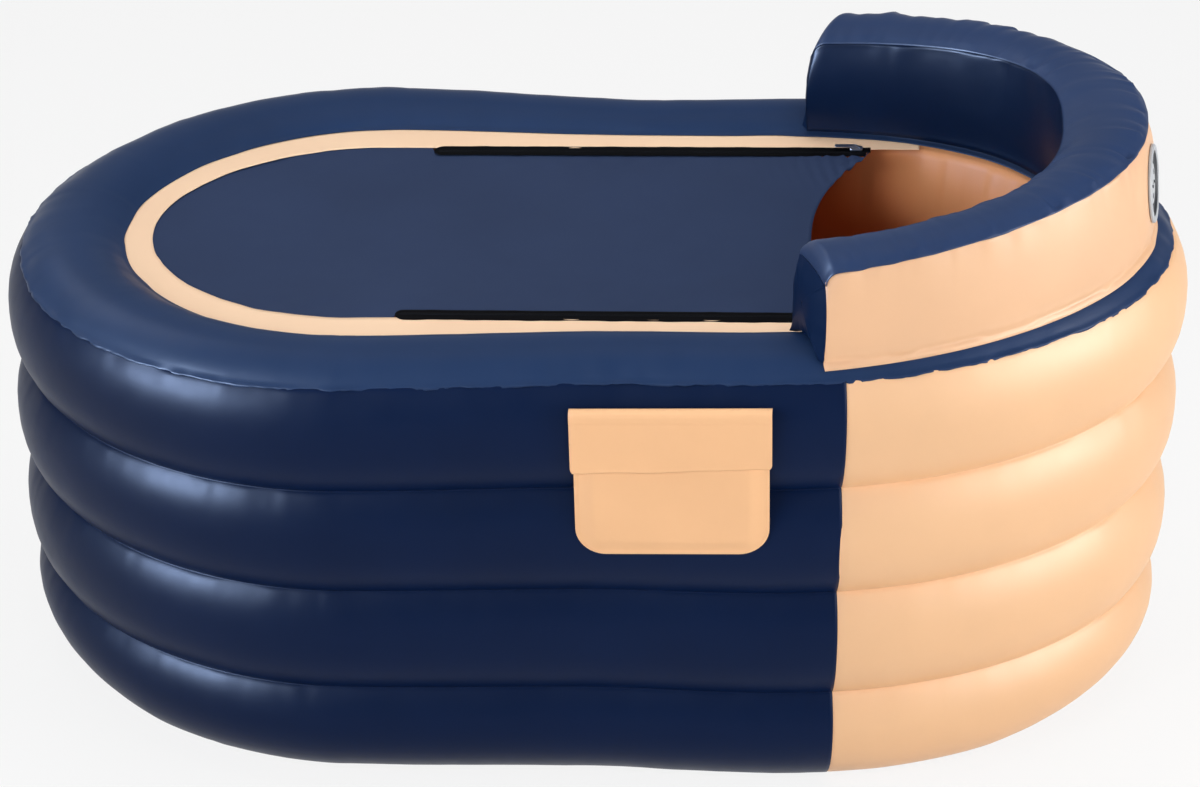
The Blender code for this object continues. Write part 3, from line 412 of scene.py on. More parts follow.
wall_navy_film = film_finish("wall_navy_film", navy, 0.40, shine=0.09, grain=0.00010)
wall_apricot_film = film_finish("wall_apricot_film", apricot, 0.48, shine=0.7, drift=0.03)
around_t = stations_between(0, 4, seam_spacing)[0]
around_turn = outward(outer_plan, around_t)
around_bend = np.linalg.norm(np.gradient(around_turn, axis=0), axis=1) / seam_spacing


def pucker_share(t):
    """How hard a seam puckers: least along the straight sides and most where the plan turns tightest."""
    return least_pucker + np.clip(np.interp(np.mod(t, 4), around_t, around_bend) / tightest_bend, 0, 1)


def drawn_under(t):
    """How much further the lowest roll is drawn in under the two ends."""
    from_middle = np.abs(outer_plan(t)[:, 0])
    return end_tuck * np.clip((from_middle - end_tuck_start) / end_tuck_run, 0, 1)


def wall_rows(t, places):
    """The outer wall from its bottom weld to its top weld, puckered along every weld."""
    calm_end = np.clip(np.minimum(places, places[-1] - places) / calm_length, 0, 1)
    hard = pucker_share(t) * calm_end
    under = drawn_under(t)
    rows = [plan_row(outer_plan, t, -base_tuck - base_weld - under, floor_gap)]
    shares = np.linspace(0, 1, ring_rows + 1)
    shares = shares - row_gather * np.sin(2 * math.pi * shares)
    shares = np.concatenate([[0, 0.008, 0.019], shares[1:-1], [0.981, 0.992, 1]])
    for ring in range(ring_count):
        lower = hard * folds(places, (11 + ring, 0.046, 0.0011), (31 + ring, 0.019, 0.0005))
        upper = hard * folds(places, (51 + ring, 0.041, 0.0011), (71 + ring, 0.018, 0.0005))
        slow = folds(places, (91 + ring, slow_length, slow_height)) * calm_end
        last = ring == ring_count - 1
        fold_reach = top_fold_reach if last else 0.024
        if last:
            upper = upper * top_pucker
        for share in shares if last else shares[:-1]:
            full = 1 - abs(2 * share - 1) ** ring_fullness
            rise, fall = share * ring_height, (1 - share) * ring_height
            offset = ring_bulge * full + slow * full
            if ring == 0:
                offset = offset - base_tuck * (1 - share) ** 3 - under * (1 - share) ** 1.5
            weld = math.exp(-rise / weld_reach) + math.exp(-fall / weld_reach)
            offset = offset + beside_weld * (1 - min(1, weld))
            offset = offset + beside_seam(lower, rise, 0.020, fold_start)
            offset = offset + beside_seam(upper, fall, fold_reach, fold_start)
            rows.append(plan_row(outer_plan, t, offset, max(ring_height * (ring + share), floor_gap)))
    return settle(rows)


head_centre = half_length - head_end_depth
joint_turn = math.acos((wall_joint_x - head_centre) / head_end_depth)
joint_far, joint_near = head_t - joint_turn / math.pi, head_t + joint_turn / math.pi
drain_place = (-0.22651, 0.41342, 0.07964)
drain_seat = seat_at(drain_place, (-0.9984, 0.0572, 0), (0, 0, 1), (0.0572, 0.9984, 0))
drain_depth = 0.1469
drain_hole_radius = 0.0166
drain_flat, drain_flat_end = 0.031, 0.062
bore_reach = 0.03
front_t, front_places = stations_between(joint_near - 4, joint_far, wall_column)
joint_lap, lap_depth = 0.010, 0.0008
rear_t, rear_places = stations_between(joint_far - joint_lap, joint_near + joint_lap, wall_column)
front_rows = lay_flat(wall_rows(front_t, front_places), drain_seat, 0.0002, drain_flat, drain_flat_end)
wall_navy = film_sheet("wall_navy", front_rows, wall_navy_film)
bore(wall_navy, drain_seat, drain_hole_radius, -bore_reach, bore_reach)
rear_rows = wall_rows(rear_t, rear_places)
lapped = (rear_t < joint_far + 0.002) | (rear_t > joint_near - 0.002)
rear_rows[:, lapped, :2] -= lap_depth * outward(outer_plan, rear_t)[lapped]
wall_apricot = film_sheet("wall_apricot", rear_rows, wall_apricot_film)
settle_in(wall_navy, "tub", "outer_wall_front")
settle_in(wall_apricot, "tub", "outer_wall_rear")


# Top panel
# One ring of navy film over the wall, blown up into a low crown. Its outer edge is welded to the wall
# in a narrow crinkled flange, and its inner edge stands as a lip over the border of the cover.
inner_half_length, inner_half_width = 0.640, 0.288
inner_foot_depth, inner_head_depth, inner_head_power = 0.364, 0.542, 2.5
top_crown = 0.031
crown_fullness = 2.3
top_rows, top_gather = 18, 0.06
top_width = 0.11
top_fold_start = 0.005
far_sag, far_sag_x, far_sag_reach = 0.008, 0.10, 0.30
top_navy = (0.0105, 0.032, 0.099)


def inner_plan(t):
    sizes = (inner_half_length, inner_half_width, inner_foot_depth, inner_head_depth)
    return plan_line(t, *sizes, inner_head_power)


def crown_z(share):
    """The height of the top panel before it settles, a share of the way from the outer to the inner weld."""
    return wall_height + 0.0013 * share + top_crown * (1 - np.abs(2 * share - 1) ** crown_fullness)


def across_row(t, share, height):
    share = np.broadcast_to(share, len(t))[:, None]
    flat = outer_plan(t) * (1 - share) + inner_plan(t) * share
    return row_of(*flat.T, height)


def top_panel_rows(t, places):
    hard = pucker_share(t)
    flange = 0.0040 + 0.0013 * ripple(201, places, 0.021) + 0.0009 * ripple(202, places, 0.008)
    droop = 0.0030 + 0.0016 * ripple(203, places, 0.024) + 0.0008 * ripple(204, places, 0.009)
    rows = [
        plan_row(outer_plan, t, flange, wall_height + 0.0004 - droop),
        plan_row(outer_plan, t, flange * 0.5, wall_height + 0.0008 - droop * 0.35),
        plan_row(outer_plan, t, 0, wall_height + 0.0008),
    ]
    outer_fold = hard * folds(places, (205, 0.044, 0.0022), (206, 0.02, 0.0009))
    inner_fold = hard * folds(places, (207, 0.050, 0.0016), (208, 0.022, 0.0007))
    slow = folds(places, (209, 0.42, 0.0016))
    line = outer_plan(t)
    far_slack = far_sag * np.exp(-(((line[:, 0] - far_sag_x) / far_sag_reach) ** 2)) * (line[:, 1] > 0)
    shares = np.linspace(0, 1, top_rows + 1)
    shares = shares - top_gather * np.sin(2 * math.pi * shares)
    for share in shares[1:-1]:
        rise, fall = share * top_width, (1 - share) * top_width
        lift = beside_seam(outer_fold, rise, 0.022, top_fold_start)
        lift = lift + beside_seam(inner_fold, fall, 0.020, top_fold_start)
        lift = lift + slow * math.sin(math.pi * share) - far_slack * math.sin(math.pi * share)
        rows.append(across_row(t, share, crown_z(share) + lift))
    wander = 0.0012 * ripple(210, places, 0.06)
    rows.append(plan_row(inner_plan, t, wander, wall_height + 0.0022))
    rows.append(plan_row(inner_plan, t, wander - 0.0030, wall_height + 0.0016))
    return settle(rows)


top_film = film_finish("top_film", top_navy, 0.42, shine=0.2)
loop_t, loop_places = stations_between(0, 4, 0.0042)
loop_t, loop_run = loop_t[:-1], loop_places[:-1]
top_panel = film_sheet("top_panel_film", top_panel_rows(loop_t, loop_run), top_film, closed=True)
settle_in(top_panel, "tub", "top_panel")


# Basin
# The inner wall and the base sheet are one welded bag of apricot film, with a soft crease at each web and
# upright folds below the gathered top edge. The floor lies slack on the ground. Towards the foot and the
# floor the film's colour is multiplied down to a darker red-brown: painted shade where the cover shuts out
# light.
inner_bulge, inner_fullness = 0.014, 2.2
inner_fold_reach, inner_fold_start = 0.022, 0.006
gathered, inner_gap = 0.0024, 0.0008
slack_level, slack_height = 0.0006, 0.0014
slack_peak, slack_reach = 0.72, 0.10
basin_apricot = (0.92, 0.42, 0.19)
# Painted shade: the colour that the film is multiplied by deep under the cover.
basin_shade_colour = (0.64, 0.33, 0.21, 1)
basin_film = film_finish(
    "basin_film", basin_apricot, 0.5, shine=0.1, drift=0.04, crumple=0.0007, crumple_scale=18
)
basin_tree = basin_film.node_tree
basin_tone = next(node for node in basin_tree.nodes if node.type == "VALTORGB")
basin_place = next(node for node in basin_tree.nodes if node.type == "TEX_COORD")
basin_split = add_node(basin_tree, "ShaderNodeSeparateXYZ")
# The painted shade is full low down and towards the foot, and fades out towards the lit head end.
basin_sum = add_maths(basin_tree, "MULTIPLY_ADD", 0.6)
basin_shade_mask = add_node(basin_tree, "ShaderNodeMapRange", From_Min=0.64, From_Max=0.84, To_Min=1, To_Max=0)
basin_shade_mask.interpolation_type = "SMOOTHSTEP"
basin_shade_multiply = add_node(basin_tree, "ShaderNodeMixRGB", Color2=basin_shade_colour)
basin_shade_multiply.blend_type = "MULTIPLY"
wire(
    basin_tree,
    (basin_place, "Object", basin_split, 0),
    (basin_split, "Z", basin_sum, 0),
    (basin_split, "X", basin_sum, 2),
    (basin_sum, 0, basin_shade_mask, "Value"),
    (basin_shade_mask, "Result", basin_shade_multiply, "Fac"),
    (basin_tone, "Color", basin_shade_multiply, "Color1"),
    (basin_shade_multiply, "Color", basin_tree.nodes["Principled BSDF"], "Base Color"),
)


def basin_rows(t, places):
    rows = [plan_row(inner_plan, t, base_weld, inner_gap)]
    shares = np.linspace(0, 1, 10)
    upright = folds(places, (301, 0.034, 0.0032), (302, 0.015, 0.0015))
    for ring in range(ring_count):
        lower = folds(places, (311 + ring, 0.05, 0.0012))
        upper = folds(places, (321 + ring, 0.045, 0.0012))
        last = ring == ring_count - 1
        for share in shares if last else shares[:-1]:
            full = 1 - abs(2 * share - 1) ** inner_fullness
            rise, fall = share * ring_height, (1 - share) * ring_height
            offset = -inner_bulge * full
            offset = offset - beside_seam(lower, rise, inner_fold_reach, inner_fold_start)
            offset = offset - beside_seam(upper, fall, inner_fold_reach, inner_fold_start)
            if last:
                offset = offset - (upright + gathered) * full * share
            height = min(max(ring_height * (ring + share), inner_gap), wall_height - inner_gap)
            rows.append(plan_row(inner_plan, t, offset, height))
    return settle(rows)


inside_level = 0.0006 - drain_depth
inside_rows = lay_flat(basin_rows(loop_t, loop_run), drain_seat, inside_level, drain_flat, drain_flat_end)
basin_wall = film_sheet("basin_wall", inside_rows, basin_film, closed=True, inside=True)
bore(basin_wall, drain_seat, drain_hole_radius, -drain_depth - bore_reach, bore_reach - drain_depth)
settle_in(basin_wall, "tub", "inner_wall")

base_edge = plan_row(outer_plan, loop_t[::4], -base_tuck - 0.002 - drawn_under(loop_t[::4]), 0)
base_rows = []
for base_share in np.linspace(1, 0.01, 46):
    base_row = base_edge * base_share
    spread = np.linalg.norm(base_row[:, :2], axis=1)
    turn = np.arctan2(base_row[:, 1], base_row[:, 0])
    swell = 0.5 + 0.5 * np.sin(spread * 31 + 2 * np.sin(3 * turn)) * np.cos(5 * turn + 9 * spread)
    near_wall = np.exp(-(((base_share - slack_peak) / slack_reach) ** 2))
    welded = 0 if base_share > 0.99 else 1
    base_row[:, 2] = slack_level + slack_height * swell * (near_wall + 0.25) * welded
    base_rows.append(base_row)
base_floor = film_sheet("basin_floor", settle(base_rows), basin_film, closed=True, thickness=0.0004)
settle_in(base_floor, "tub", "base_sheet")


# Webs
# Three level sheets inside the wall, one at each crease. They are drawn here in place of the solids,
# because the middle of the far side is drawn in further than the solids' webs reach.
web_shares = (0.006, 0.25, 0.5, 0.75, 0.994)
for crease in range(1, ring_count):
    web_rows = settle([across_row(loop_t, share, ring_height * crease) for share in web_shares])
    web = film_sheet(f"web_{crease}", web_rows, basin_film, closed=True, thickness=0.0004)
    settle_in(web, "tub", f"wall_web_{crease}")


# Backrest
# A closed cushion of film on the top panel round the head end: apricot outside, navy on top and inside,
# with a welded flange round its foot, a welt above it and puckered seams along both top edges.
backrest_end_x = 0.310
backrest_rear_height, backrest_end_height, backrest_inner_drop = 0.172, 0.146, 0.004
backrest_crown = 0.016
wall_thickness, backrest_top_width = 0.12, 0.085
end_slant, slant_middle = 0.044, 0.45
hem_width, hem_wander = 0.052, 0.008
rear_reach = 0.19
outer_bow, cushion_fullness, inner_bow_fullness = 0.05, 2.3, 2.1
welt_out, welt_part, welt_half = 0.010, 0.07, 0.018
end_swell, end_fullness, end_flare = 0.014, 2.6, 0.010
outer_rear_share, outer_end_share = 0.20, 0.11
lean_rear_share, lean_end_share = 0.167, 0.02
backrest_inner_share, top_inner_share = 0.97, 0.94
far_corner, near_corner = 0.019, 0.016
backrest_navy = (0.0035, 0.0150, 0.057)
backrest_apricot = (0.835, 0.488, 0.270)
# The top sheet's navy is lighter than the top panel's; the extra lightness is a painted highlight along the
# crest.
backrest_top_navy_and_highlight = (0.0165, 0.040, 0.118)
backrest_turn = math.acos((backrest_end_x - head_centre) / head_end_depth)
half_reach = backrest_turn / math.pi
fine_t, fine_places = stations_between(head_t - half_reach, head_t + half_reach, 0.001)
back_length = fine_places[-1]
corner_steps = 1 - np.cos(np.linspace(0, math.pi / 2, 16))
back_places = np.concatenate([
    far_corner * corner_steps[:-1],
    np.linspace(far_corner, back_length - near_corner, 360),
    (back_length - near_corner * corner_steps[::-1])[1:],
])
back_t = np.interp(back_places, fine_places, fine_t)
from_end = np.minimum(back_places, back_length - back_places)
end_corner = np.where(back_places < back_length / 2, far_corner, near_corner)
corner_rise = np.sqrt(1 - (1 - np.clip(from_end / end_corner, 0, 1)) ** 2)
near_end = np.exp(-from_end / 0.10)
back_hard = pucker_share(back_t) * (1 + 0.9 * near_end)
back_angle = np.abs(math.pi / 2 - math.pi * (back_t - 3)) / backrest_turn
outer_share = outer_rear_share + (outer_end_share - outer_rear_share) * back_angle**2
top_lean = lean_rear_share + (lean_end_share - lean_rear_share) * back_angle**2
back_tall = backrest_rear_height + (backrest_end_height - backrest_rear_height) * back_angle**2
back_tall = back_tall - end_corner * (1 - corner_rise)
inner_tall = back_tall - backrest_inner_drop
at_rear = np.clip(1 - back_angle**2, 0, 1)
crest_reach = top_inner_share + rear_reach * at_rear
inner_bow = 0.13 - 0.08 * at_rear
backrest_film = film_finish("backrest_film", backrest_navy, 0.36, shine=0.13)
# Its colour carries a painted highlight along the crest.
backrest_top_film = film_finish("backrest_top_film", backrest_top_navy_and_highlight, 0.42, shine=0.28)
backrest_outer_film = film_finish("backrest_outer_film", backrest_apricot, 0.48, shine=0.7, drift=0.03)
backrest_end_film = film_finish("backrest_end_film", backrest_navy, 0.45, shine=0.03)
pump_place = (0.73896, -0.03875, 0.77521)
pump_seat = seat_at(pump_place, (0.1318, 0.9913, 0), (-0.1362, 0.0181, 0.9905), (0.9819, -0.1306, 0.1374))
pump_hole_radius, pump_flat, pump_flat_end = 0.0455, 0.054, 0.090


def between(low, high, part):
    """Keeps the plan of the high row, at a height part of the way up from the low row."""
    row = high.copy()
    row[:, 2] = low[:, 2] + (high[:, 2] - low[:, 2]) * part
    return row


def back_row(share, height):
    """A row along the backrest. Its ends are cut aslant, so that the inner corner reaches further."""
    share = np.broadcast_to(share, len(back_t))
    t = head_t + (back_t - head_t) * (1 + end_slant * (share - slant_middle) * back_angle**6)
    return across_row(t, share, height)


foot_row = back_row(outer_share, crown_z(outer_share) + 0.0045)
hem_wave = ripple(401, back_places, 0.03)
hem_share = outer_share - hem_width - hem_wander * hem_wave
outer_rows = [
    back_row(hem_share, crown_z(outer_share - 0.05) + 0.0016 + 0.0006 * hem_wave),
    back_row(outer_share - 0.026, crown_z(outer_share - 0.026) + 0.0024),
    back_row(outer_share - 0.006, crown_z(outer_share) + 0.0040),
]
seam_fold = back_hard * folds(back_places, (402, 0.024, 0.0021), (403, 0.011, 0.0011))
foot_fold = back_hard * folds(back_places, (404, 0.040, 0.0010), (405, 0.017, 0.0004))
for part in np.linspace(0, 1, 31):
    bow = outer_bow * (1 - abs(2 * part - 1) ** cushion_fullness)
    welt = welt_out * math.exp(-(((part - welt_part) / welt_half) ** 2))
    tall = part * back_tall
    fold = foot_fold * np.exp(-tall / 0.02) + seam_fold * np.exp(-(back_tall - tall) / 0.024)
    share = outer_share + top_lean * part - bow - welt - fold / wall_thickness * min(1, 40 * (1 - part))
    outer_rows.append(between(foot_row, back_row(share, wall_height + back_tall), part))
outer_rows = lay_flat(settle(outer_rows), pump_seat, -0.0004, pump_flat, pump_flat_end)
backrest_outer = film_sheet("backrest_outer_sheet", outer_rows, backrest_outer_film)
bore(backrest_outer, pump_seat, pump_hole_radius, -bore_reach, bore_reach)

top_sheet_rows = []
rim = 0.0030 + 0.0008 * ripple(411, back_places, 0.02)
rim_drop = 0.0010 + 0.0012 * ripple(412, back_places, 0.022)
top_fold = back_hard * folds(back_places, (413, 0.022, 0.0042), (414, 0.011, 0.0030))
in_fold = back_hard * folds(back_places, (415, 0.034, 0.0028), (416, 0.014, 0.0015))
start_share = outer_share + top_lean
top_sheet_rows.append(back_row(start_share - rim / wall_thickness, wall_height + back_tall - rim_drop))
for part in np.linspace(0, 1, 21):
    share = start_share + (crest_reach - start_share) * part
    full = 1 - abs(2 * part - 1) ** cushion_fullness
    reach = backrest_top_width * part
    lift = beside_seam(top_fold, reach, 0.017, 0.003)
    lift = lift + beside_seam(in_fold, backrest_top_width - reach, 0.020, fold_start)
    height = back_tall - backrest_inner_drop * part
    swell = backrest_crown * full * (0.25 + 0.75 * corner_rise)
    top_sheet_rows.append(back_row(share, wall_height + height + 0.0008 + swell + lift))
top_sheet_rows.append(back_row(crest_reach + 0.024, wall_height + inner_tall - 0.001))
top_sheet_rows = settle(top_sheet_rows)
backrest_top = film_sheet("backrest_top_sheet", top_sheet_rows, backrest_top_film)

lip_row = back_row(backrest_inner_share, crown_z(0.955) + 0.002)
inner_rows = []
in_side = back_hard * folds(back_places, (421, 0.046, 0.0020), (422, 0.02, 0.0008))
for part in np.linspace(1, 0, 24):
    share = backrest_inner_share + (crest_reach - backrest_inner_share) * part
    share = share + inner_bow * (1 - abs(2 * part - 1) ** inner_bow_fullness)
    down = (1 - part) * inner_tall
    share = share + in_side / wall_thickness * np.exp(-down / 0.022) * min(1, 20 * (1 - part))
    share = share + 0.05 * np.exp(-part * inner_tall / 0.010)
    inner_rows.append(between(lip_row, back_row(share, wall_height + inner_tall), part))
inner_rows = settle(inner_rows)
backrest_inner = film_sheet("backrest_inner_sheet", inner_rows, backrest_film)

under_rows = []
for part in (0.0, 0.25, 0.5, 0.75, 1.0):
    share = outer_share - 0.03 + (backrest_inner_share - outer_share + 0.03) * part
    under_rows.append(back_row(share, crown_z(share) + 0.0010))
under_rows = settle(under_rows)
backrest_under = film_sheet("backrest_under_sheet", under_rows, backrest_film)
settle_in(backrest_outer, "tub", "backrest_outer")
settle_in(backrest_top, "tub", "backrest_top")
settle_in(backrest_inner, "tub", "backrest_inner")
settle_in(backrest_under, "tub", "backrest_base")


def backrest_end(name, column, seed):
    """An end panel that swells out of the cushion's section, and flares where it meets the top panel."""
    sheets = [outer_rows[3:], top_sheet_rows[1:-1], inner_rows[1:], under_rows[::-1][1:-1]]
    section = np.concatenate([sheet[:, column] for sheet in sheets])
    closed_up = np.concatenate([section, section[:1]])
    run = run_along(closed_up)
    even = np.linspace(0, run[-1], 181)[:-1]
    rim_line = np.stack([np.interp(even, run, closed_up[:, axis]) for axis in range(3)], -1)
    centre = section.mean(0)
    across = inner_rows[-1][column] - outer_rows[3][column]
    away = np.array([across[1], -across[0], 0])
    away /= np.linalg.norm(away)
    if away @ (centre - top_sheet_rows[10][len(back_t) // 2]) < 0:
        away = -away
    low = rim_line[:, 2].min()
    crinkle = ripple(seed, even, 0.018)
    rows = [rim_line + away * 0.0004 + (rim_line - centre) * 0.012]
    for inset in np.linspace(0, 0.98, 18):
        loop = centre + (rim_line - centre) * (1 - inset)
        out = 0.0008 + end_swell * (1 - (1 - inset) ** end_fullness)
        fold = beside_seam(0.0013 * crinkle, inset, 0.18, 0.05)
        flare = end_flare * np.exp(-(loop[:, 2] - low) / 0.012) * min(1, inset / 0.06)
        rows.append(loop + away * (out + fold + flare)[:, None])
    return film_sheet(name, rows, backrest_end_film, closed=True, inside=column < 0)


for label, column, seed in (("far", 0, 431), ("near", -1, 432)):
    end_panel = backrest_end(f"backrest_{label}_end", column, seed)
    settle_in(end_panel, "tub", f"backrest_end_{label}")


# Cover border
# A flat strip of apricot film round the opening, welded under the lip of the top panel. Its free edge
# wanders a little, and it ends squarely at the head end, past the zips.
border_foot_x, border_foot_depth = -0.599, 0.299
border_edge_y = 0.229
border_end_x = 0.440
border_apricot = (0.99, 0.69, 0.47)
border_film = film_finish("border_film", border_apricot, 0.52, drift=0.03, crumple=0.0006)
border_centre = border_foot_x + border_foot_depth
inner_centre = inner_half_length - inner_head_depth
border_turn = math.acos(((border_end_x - inner_centre) / inner_head_depth) ** (inner_head_power / 2))
border_gap = border_turn / math.pi
border_t, border_places = stations_between(head_t - 4 + border_gap, head_t - border_gap, 0.0045)
border_outside = inner_plan(border_t)
side_start = inner_foot_depth - inner_half_length
side_reach = (border_outside[:, 0] - side_start) / (border_end_x - side_start)
foot_angle = -math.pi / 2 + math.pi * np.clip(np.mod(border_t, 4) - 1, 0, 1)
at_foot = (np.mod(border_t, 4) >= 1) & (np.mod(border_t, 4) < 2)
inside_x = np.where(
    at_foot,
    border_centre - border_foot_depth * np.cos(foot_angle),
    border_centre + (border_end_x - border_centre) * side_reach,
)
inside_y = np.where(at_foot, np.sin(foot_angle), np.sign(border_outside[:, 1])) * border_edge_y
edge_wander = 0.0013 * ripple(501, border_places, 0.09) + 0.0006 * ripple(502, border_places, 0.035)
border_inside = np.column_stack([inside_x, inside_y])
toward = border_outside - border_inside
toward /= np.linalg.norm(toward, axis=1)[:, None]
border_inside = border_inside + toward * edge_wander[:, None]
border_rows = []
for part in np.linspace(0, 1, 9):
    flat = border_outside * (1 - part) + border_inside * part
    height = wall_height + 0.0006 + 0.0008 * ripple(503, border_places, 0.055) * math.sin(math.pi * part)
    height = height + 0.0035 * max(0, part - 0.8) * (0.6 + ripple(504, border_places, 0.07))
    border_rows.append(row_of(*flat.T, height))
border = film_sheet("border_strip", settle(border_rows), border_film)
settle_in(border, "tub", "cover_border")


# Cover
# A single matt navy sheet over the bath, welded to the border at the foot and zipped along both sides
# up to the hollow neck edge. It is drawn almost flat. The real sheet folds back about a line at the foot of
# the zips; here it is fixed to no body and does not fold.
hinge_x = -0.246
cover_lap = 0.008
zip_y = 0.219
zip_tape_width = 0.010
neck_x, neck_horn, neck_power = 0.296, 0.078, 2.4
swell_height, ripple_height, sag_depth = 0.0022, 0.0007, 0.0045
neck_roll, roll_reach, middle_run = 0.0010, 0.006, 0.54
corner_lift, corner_draw, corner_reach, horn_run = 0.0105, 0.020, 0.045, 0.6
cover_navy = (0.0285, 0.046, 0.105)


def coated_finish(name, colour, roughness, shine=0.08):
    """A coated cover sheet: matt, with a very fine weave under the coating and faint pressed creases."""
    material = film_finish(name, colour, roughness, shine, 0.05, 0.00004, 0.0007, 9)
    tree = material.node_tree
    shader = tree.nodes["Principled BSDF"]
    place = next(node for node in tree.nodes if node.type == "TEX_COORD")
    below = [node for node in tree.nodes if node.type == "BUMP"][-1]
    woven = add_maths(tree, "MULTIPLY")
    for side, direction in enumerate(("X", "Y")):
        wave = add_node(tree, "ShaderNodeTexWave", Scale=420)
        wave.bands_direction = direction
        wire(tree, (place, "Object", wave, "Vector"), (wave, "Fac", woven, side))
    cloth = add_node(tree, "ShaderNodeBump", Strength=0.35, Distance=0.00008)
    wire(
        tree,
        (woven, 0, cloth, "Height"),
        (below, "Normal", cloth, "Normal"),
        (cloth, "Normal", shader, "Normal"),
    )
    return material


cover_film = coated_finish("cover_film", cover_navy, 0.62)
cover_angles = np.linspace(-math.pi / 2, math.pi / 2, 131)
side_sine = np.sin(cover_angles)
foot_width = border_edge_y + cover_lap
flap_width = zip_y - zip_tape_width + 0.004
foot_edge_x = border_centre - (border_foot_depth + cover_lap) * np.cos(cover_angles)
neck_edge = neck_x + neck_horn * np.abs(side_sine * flap_width / zip_y) ** neck_power


def cover_height(x, y):
    """The slack of the sheet: long low swells along it and short ripples beside the zips."""
    calm = np.clip(1 - (np.abs(y) - 0.155) / 0.055, 0, 1) * np.clip((0.5 - np.abs(x + 0.12)) / 0.14, 0, 1)
    swell = swell_height * np.sin(9.5 * x + 1.3 + 0.8 * np.sin(7 * y)) * np.cos(8.3 * y - 0.4)
    by_zip = np.exp(-(((np.abs(y) - 0.19) / 0.016) ** 2))
    beside = ripple_height * np.sin(88 * x + 3 * np.sin(13 * x)) * by_zip
    sag = -sag_depth * np.clip(1 - (y / 0.22) ** 2, 0, 1) * np.clip((x + 0.62) / 0.25, 0, 1)
    return swell * calm + beside + sag


cover_level = wall_height - 0.0006
far_horn = np.clip((side_sine - 0.55) / 0.45, 0, 1)
cover_rows = []
for run in np.concatenate([np.linspace(1, 0.03, 62), np.linspace(0.015, 0, 3)]):
    x = hinge_x + (foot_edge_x - hinge_x) * run
    y = foot_width * side_sine
    cover_rows.append(row_of(x, y, cover_level + cover_height(x, y)))
for run in np.concatenate([[0.008, 0.016], np.linspace(0.03, 1, 104)]):
    x = hinge_x + (neck_edge - hinge_x) * run
    y = (foot_width + (flap_width - foot_width) * min(1, run / 0.012)) * side_sine
    rolled = neck_roll * math.exp(-(1 - run) * middle_run / roll_reach)
    corner = far_horn * math.exp(-(1 - run) * horn_run / corner_reach)
    crease = np.sin(side_sine * 62 + run * 210) * 0.0022 + np.sin(side_sine * 31 - run * 330) * 0.0018
    lift = cover_height(x, y) + rolled + corner * (corner_lift + 1.6 * crease)
    cover_rows.append(row_of(x, y - corner_draw * corner, cover_level + lift))
cover = film_sheet("cover_sheet", settle(cover_rows), cover_film, thickness=0.0006)
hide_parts("cover_foot_panel", "cover_flap")
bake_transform(cover)


# Zips
# Two coated zips, each with one tape welded to the border and one to the cover. Fine coil teeth meet on
# the split line, and the two tapes end together in a rounded tip with a moulded stop at the foot end.
zip_low_x, zip_head_x = hinge_x + 0.006, 0.372
zip_level = wall_height + 0.0009
zip_split, zip_weld = 0.0003, 0.004
flap_end_x = neck_x + neck_horn * ((zip_y - zip_tape_width) / zip_y) ** neck_power
zip_black = (0.0035, 0.0035, 0.0042)
zip_film = coated_finish("zip_film", zip_black, 0.6, shine=0.03)
teeth_film = film_finish("teeth_film", zip_black, 0.5, shine=0.06, crumple=0.0001, crumple_scale=300)


def zip_tape(label, side, carrier, direction, end_x, body):
    """One tape from its rounded tip to its head end, from the split line out to its welded edge."""
    split = zip_y + direction * zip_split
    edge = border_edge_y + zip_weld if direction > 0 else zip_y - zip_tape_width
    width = abs(edge - split)
    x = zip_low_x + width - width * np.cos(np.linspace(0, math.pi / 2, 14))
    x = np.concatenate([x, np.linspace(x[-1], end_x, 150)[1:]])
    to_tip = (zip_low_x + width - np.minimum(x, zip_low_x + width)) / width
    reach = np.sqrt(np.clip(1 - to_tip**2, 0.0004, 1))
    wander = 0.0004 * np.sin(70 * x + side) + 0.0003 * np.sin(171 * x)
    rows = []
    for part in (0, 0.12, 0.4, 0.7, 0.94, 1):
        y = split + (edge - split) * part * reach + wander * (part == 1)
        fall = 0.0004 * (part == 1)
        height = zip_level - fall + wander * 0.5 * math.sin(math.pi * part)
        rows.append(row_of(x, side * y, height))
    inside = side * direction < 0
    tape = film_sheet(f"zip_{carrier}_{label}", settle(rows), zip_film, inside=inside, thickness=0.0008)
    settle_in(tape, body, f"zip_{carrier}_tape_{label}")


def zip_teeth(label, side, carrier, direction, end_x, body):
    """One row of coil teeth along the split line, standing on its tape."""
    split = zip_y + direction * zip_split
    x = np.arange(zip_low_x + 0.006, end_x - 0.001, 0.0005)
    tooth = 0.5 + 0.5 * np.sin(x * math.tau / 0.0020 + (0 if direction > 0 else math.pi))
    rows = []
    for turn in np.linspace(0, math.pi, 6):
        reach = direction * 0.0022 * (0.5 - 0.5 * math.cos(turn))
        height = 0.0014 * math.sin(turn) * (0.55 + 0.45 * tooth)
        rows.append(row_of(x, side * (split + reach), zip_level + height))
    inside = side * direction < 0
    teeth = film_sheet(f"teeth_{carrier}_{label}", settle(rows), teeth_film, inside=inside, thickness=0.0003)
    settle_in(teeth, body, f"zip_{carrier}_tape_{label}")


for label, side in (("near", -1), ("far", 1)):
    for build in (zip_tape, zip_teeth):
        build(label, side, "border", 1, zip_head_x, "tub")
        build(label, side, "flap", -1, flap_end_x, "cover")


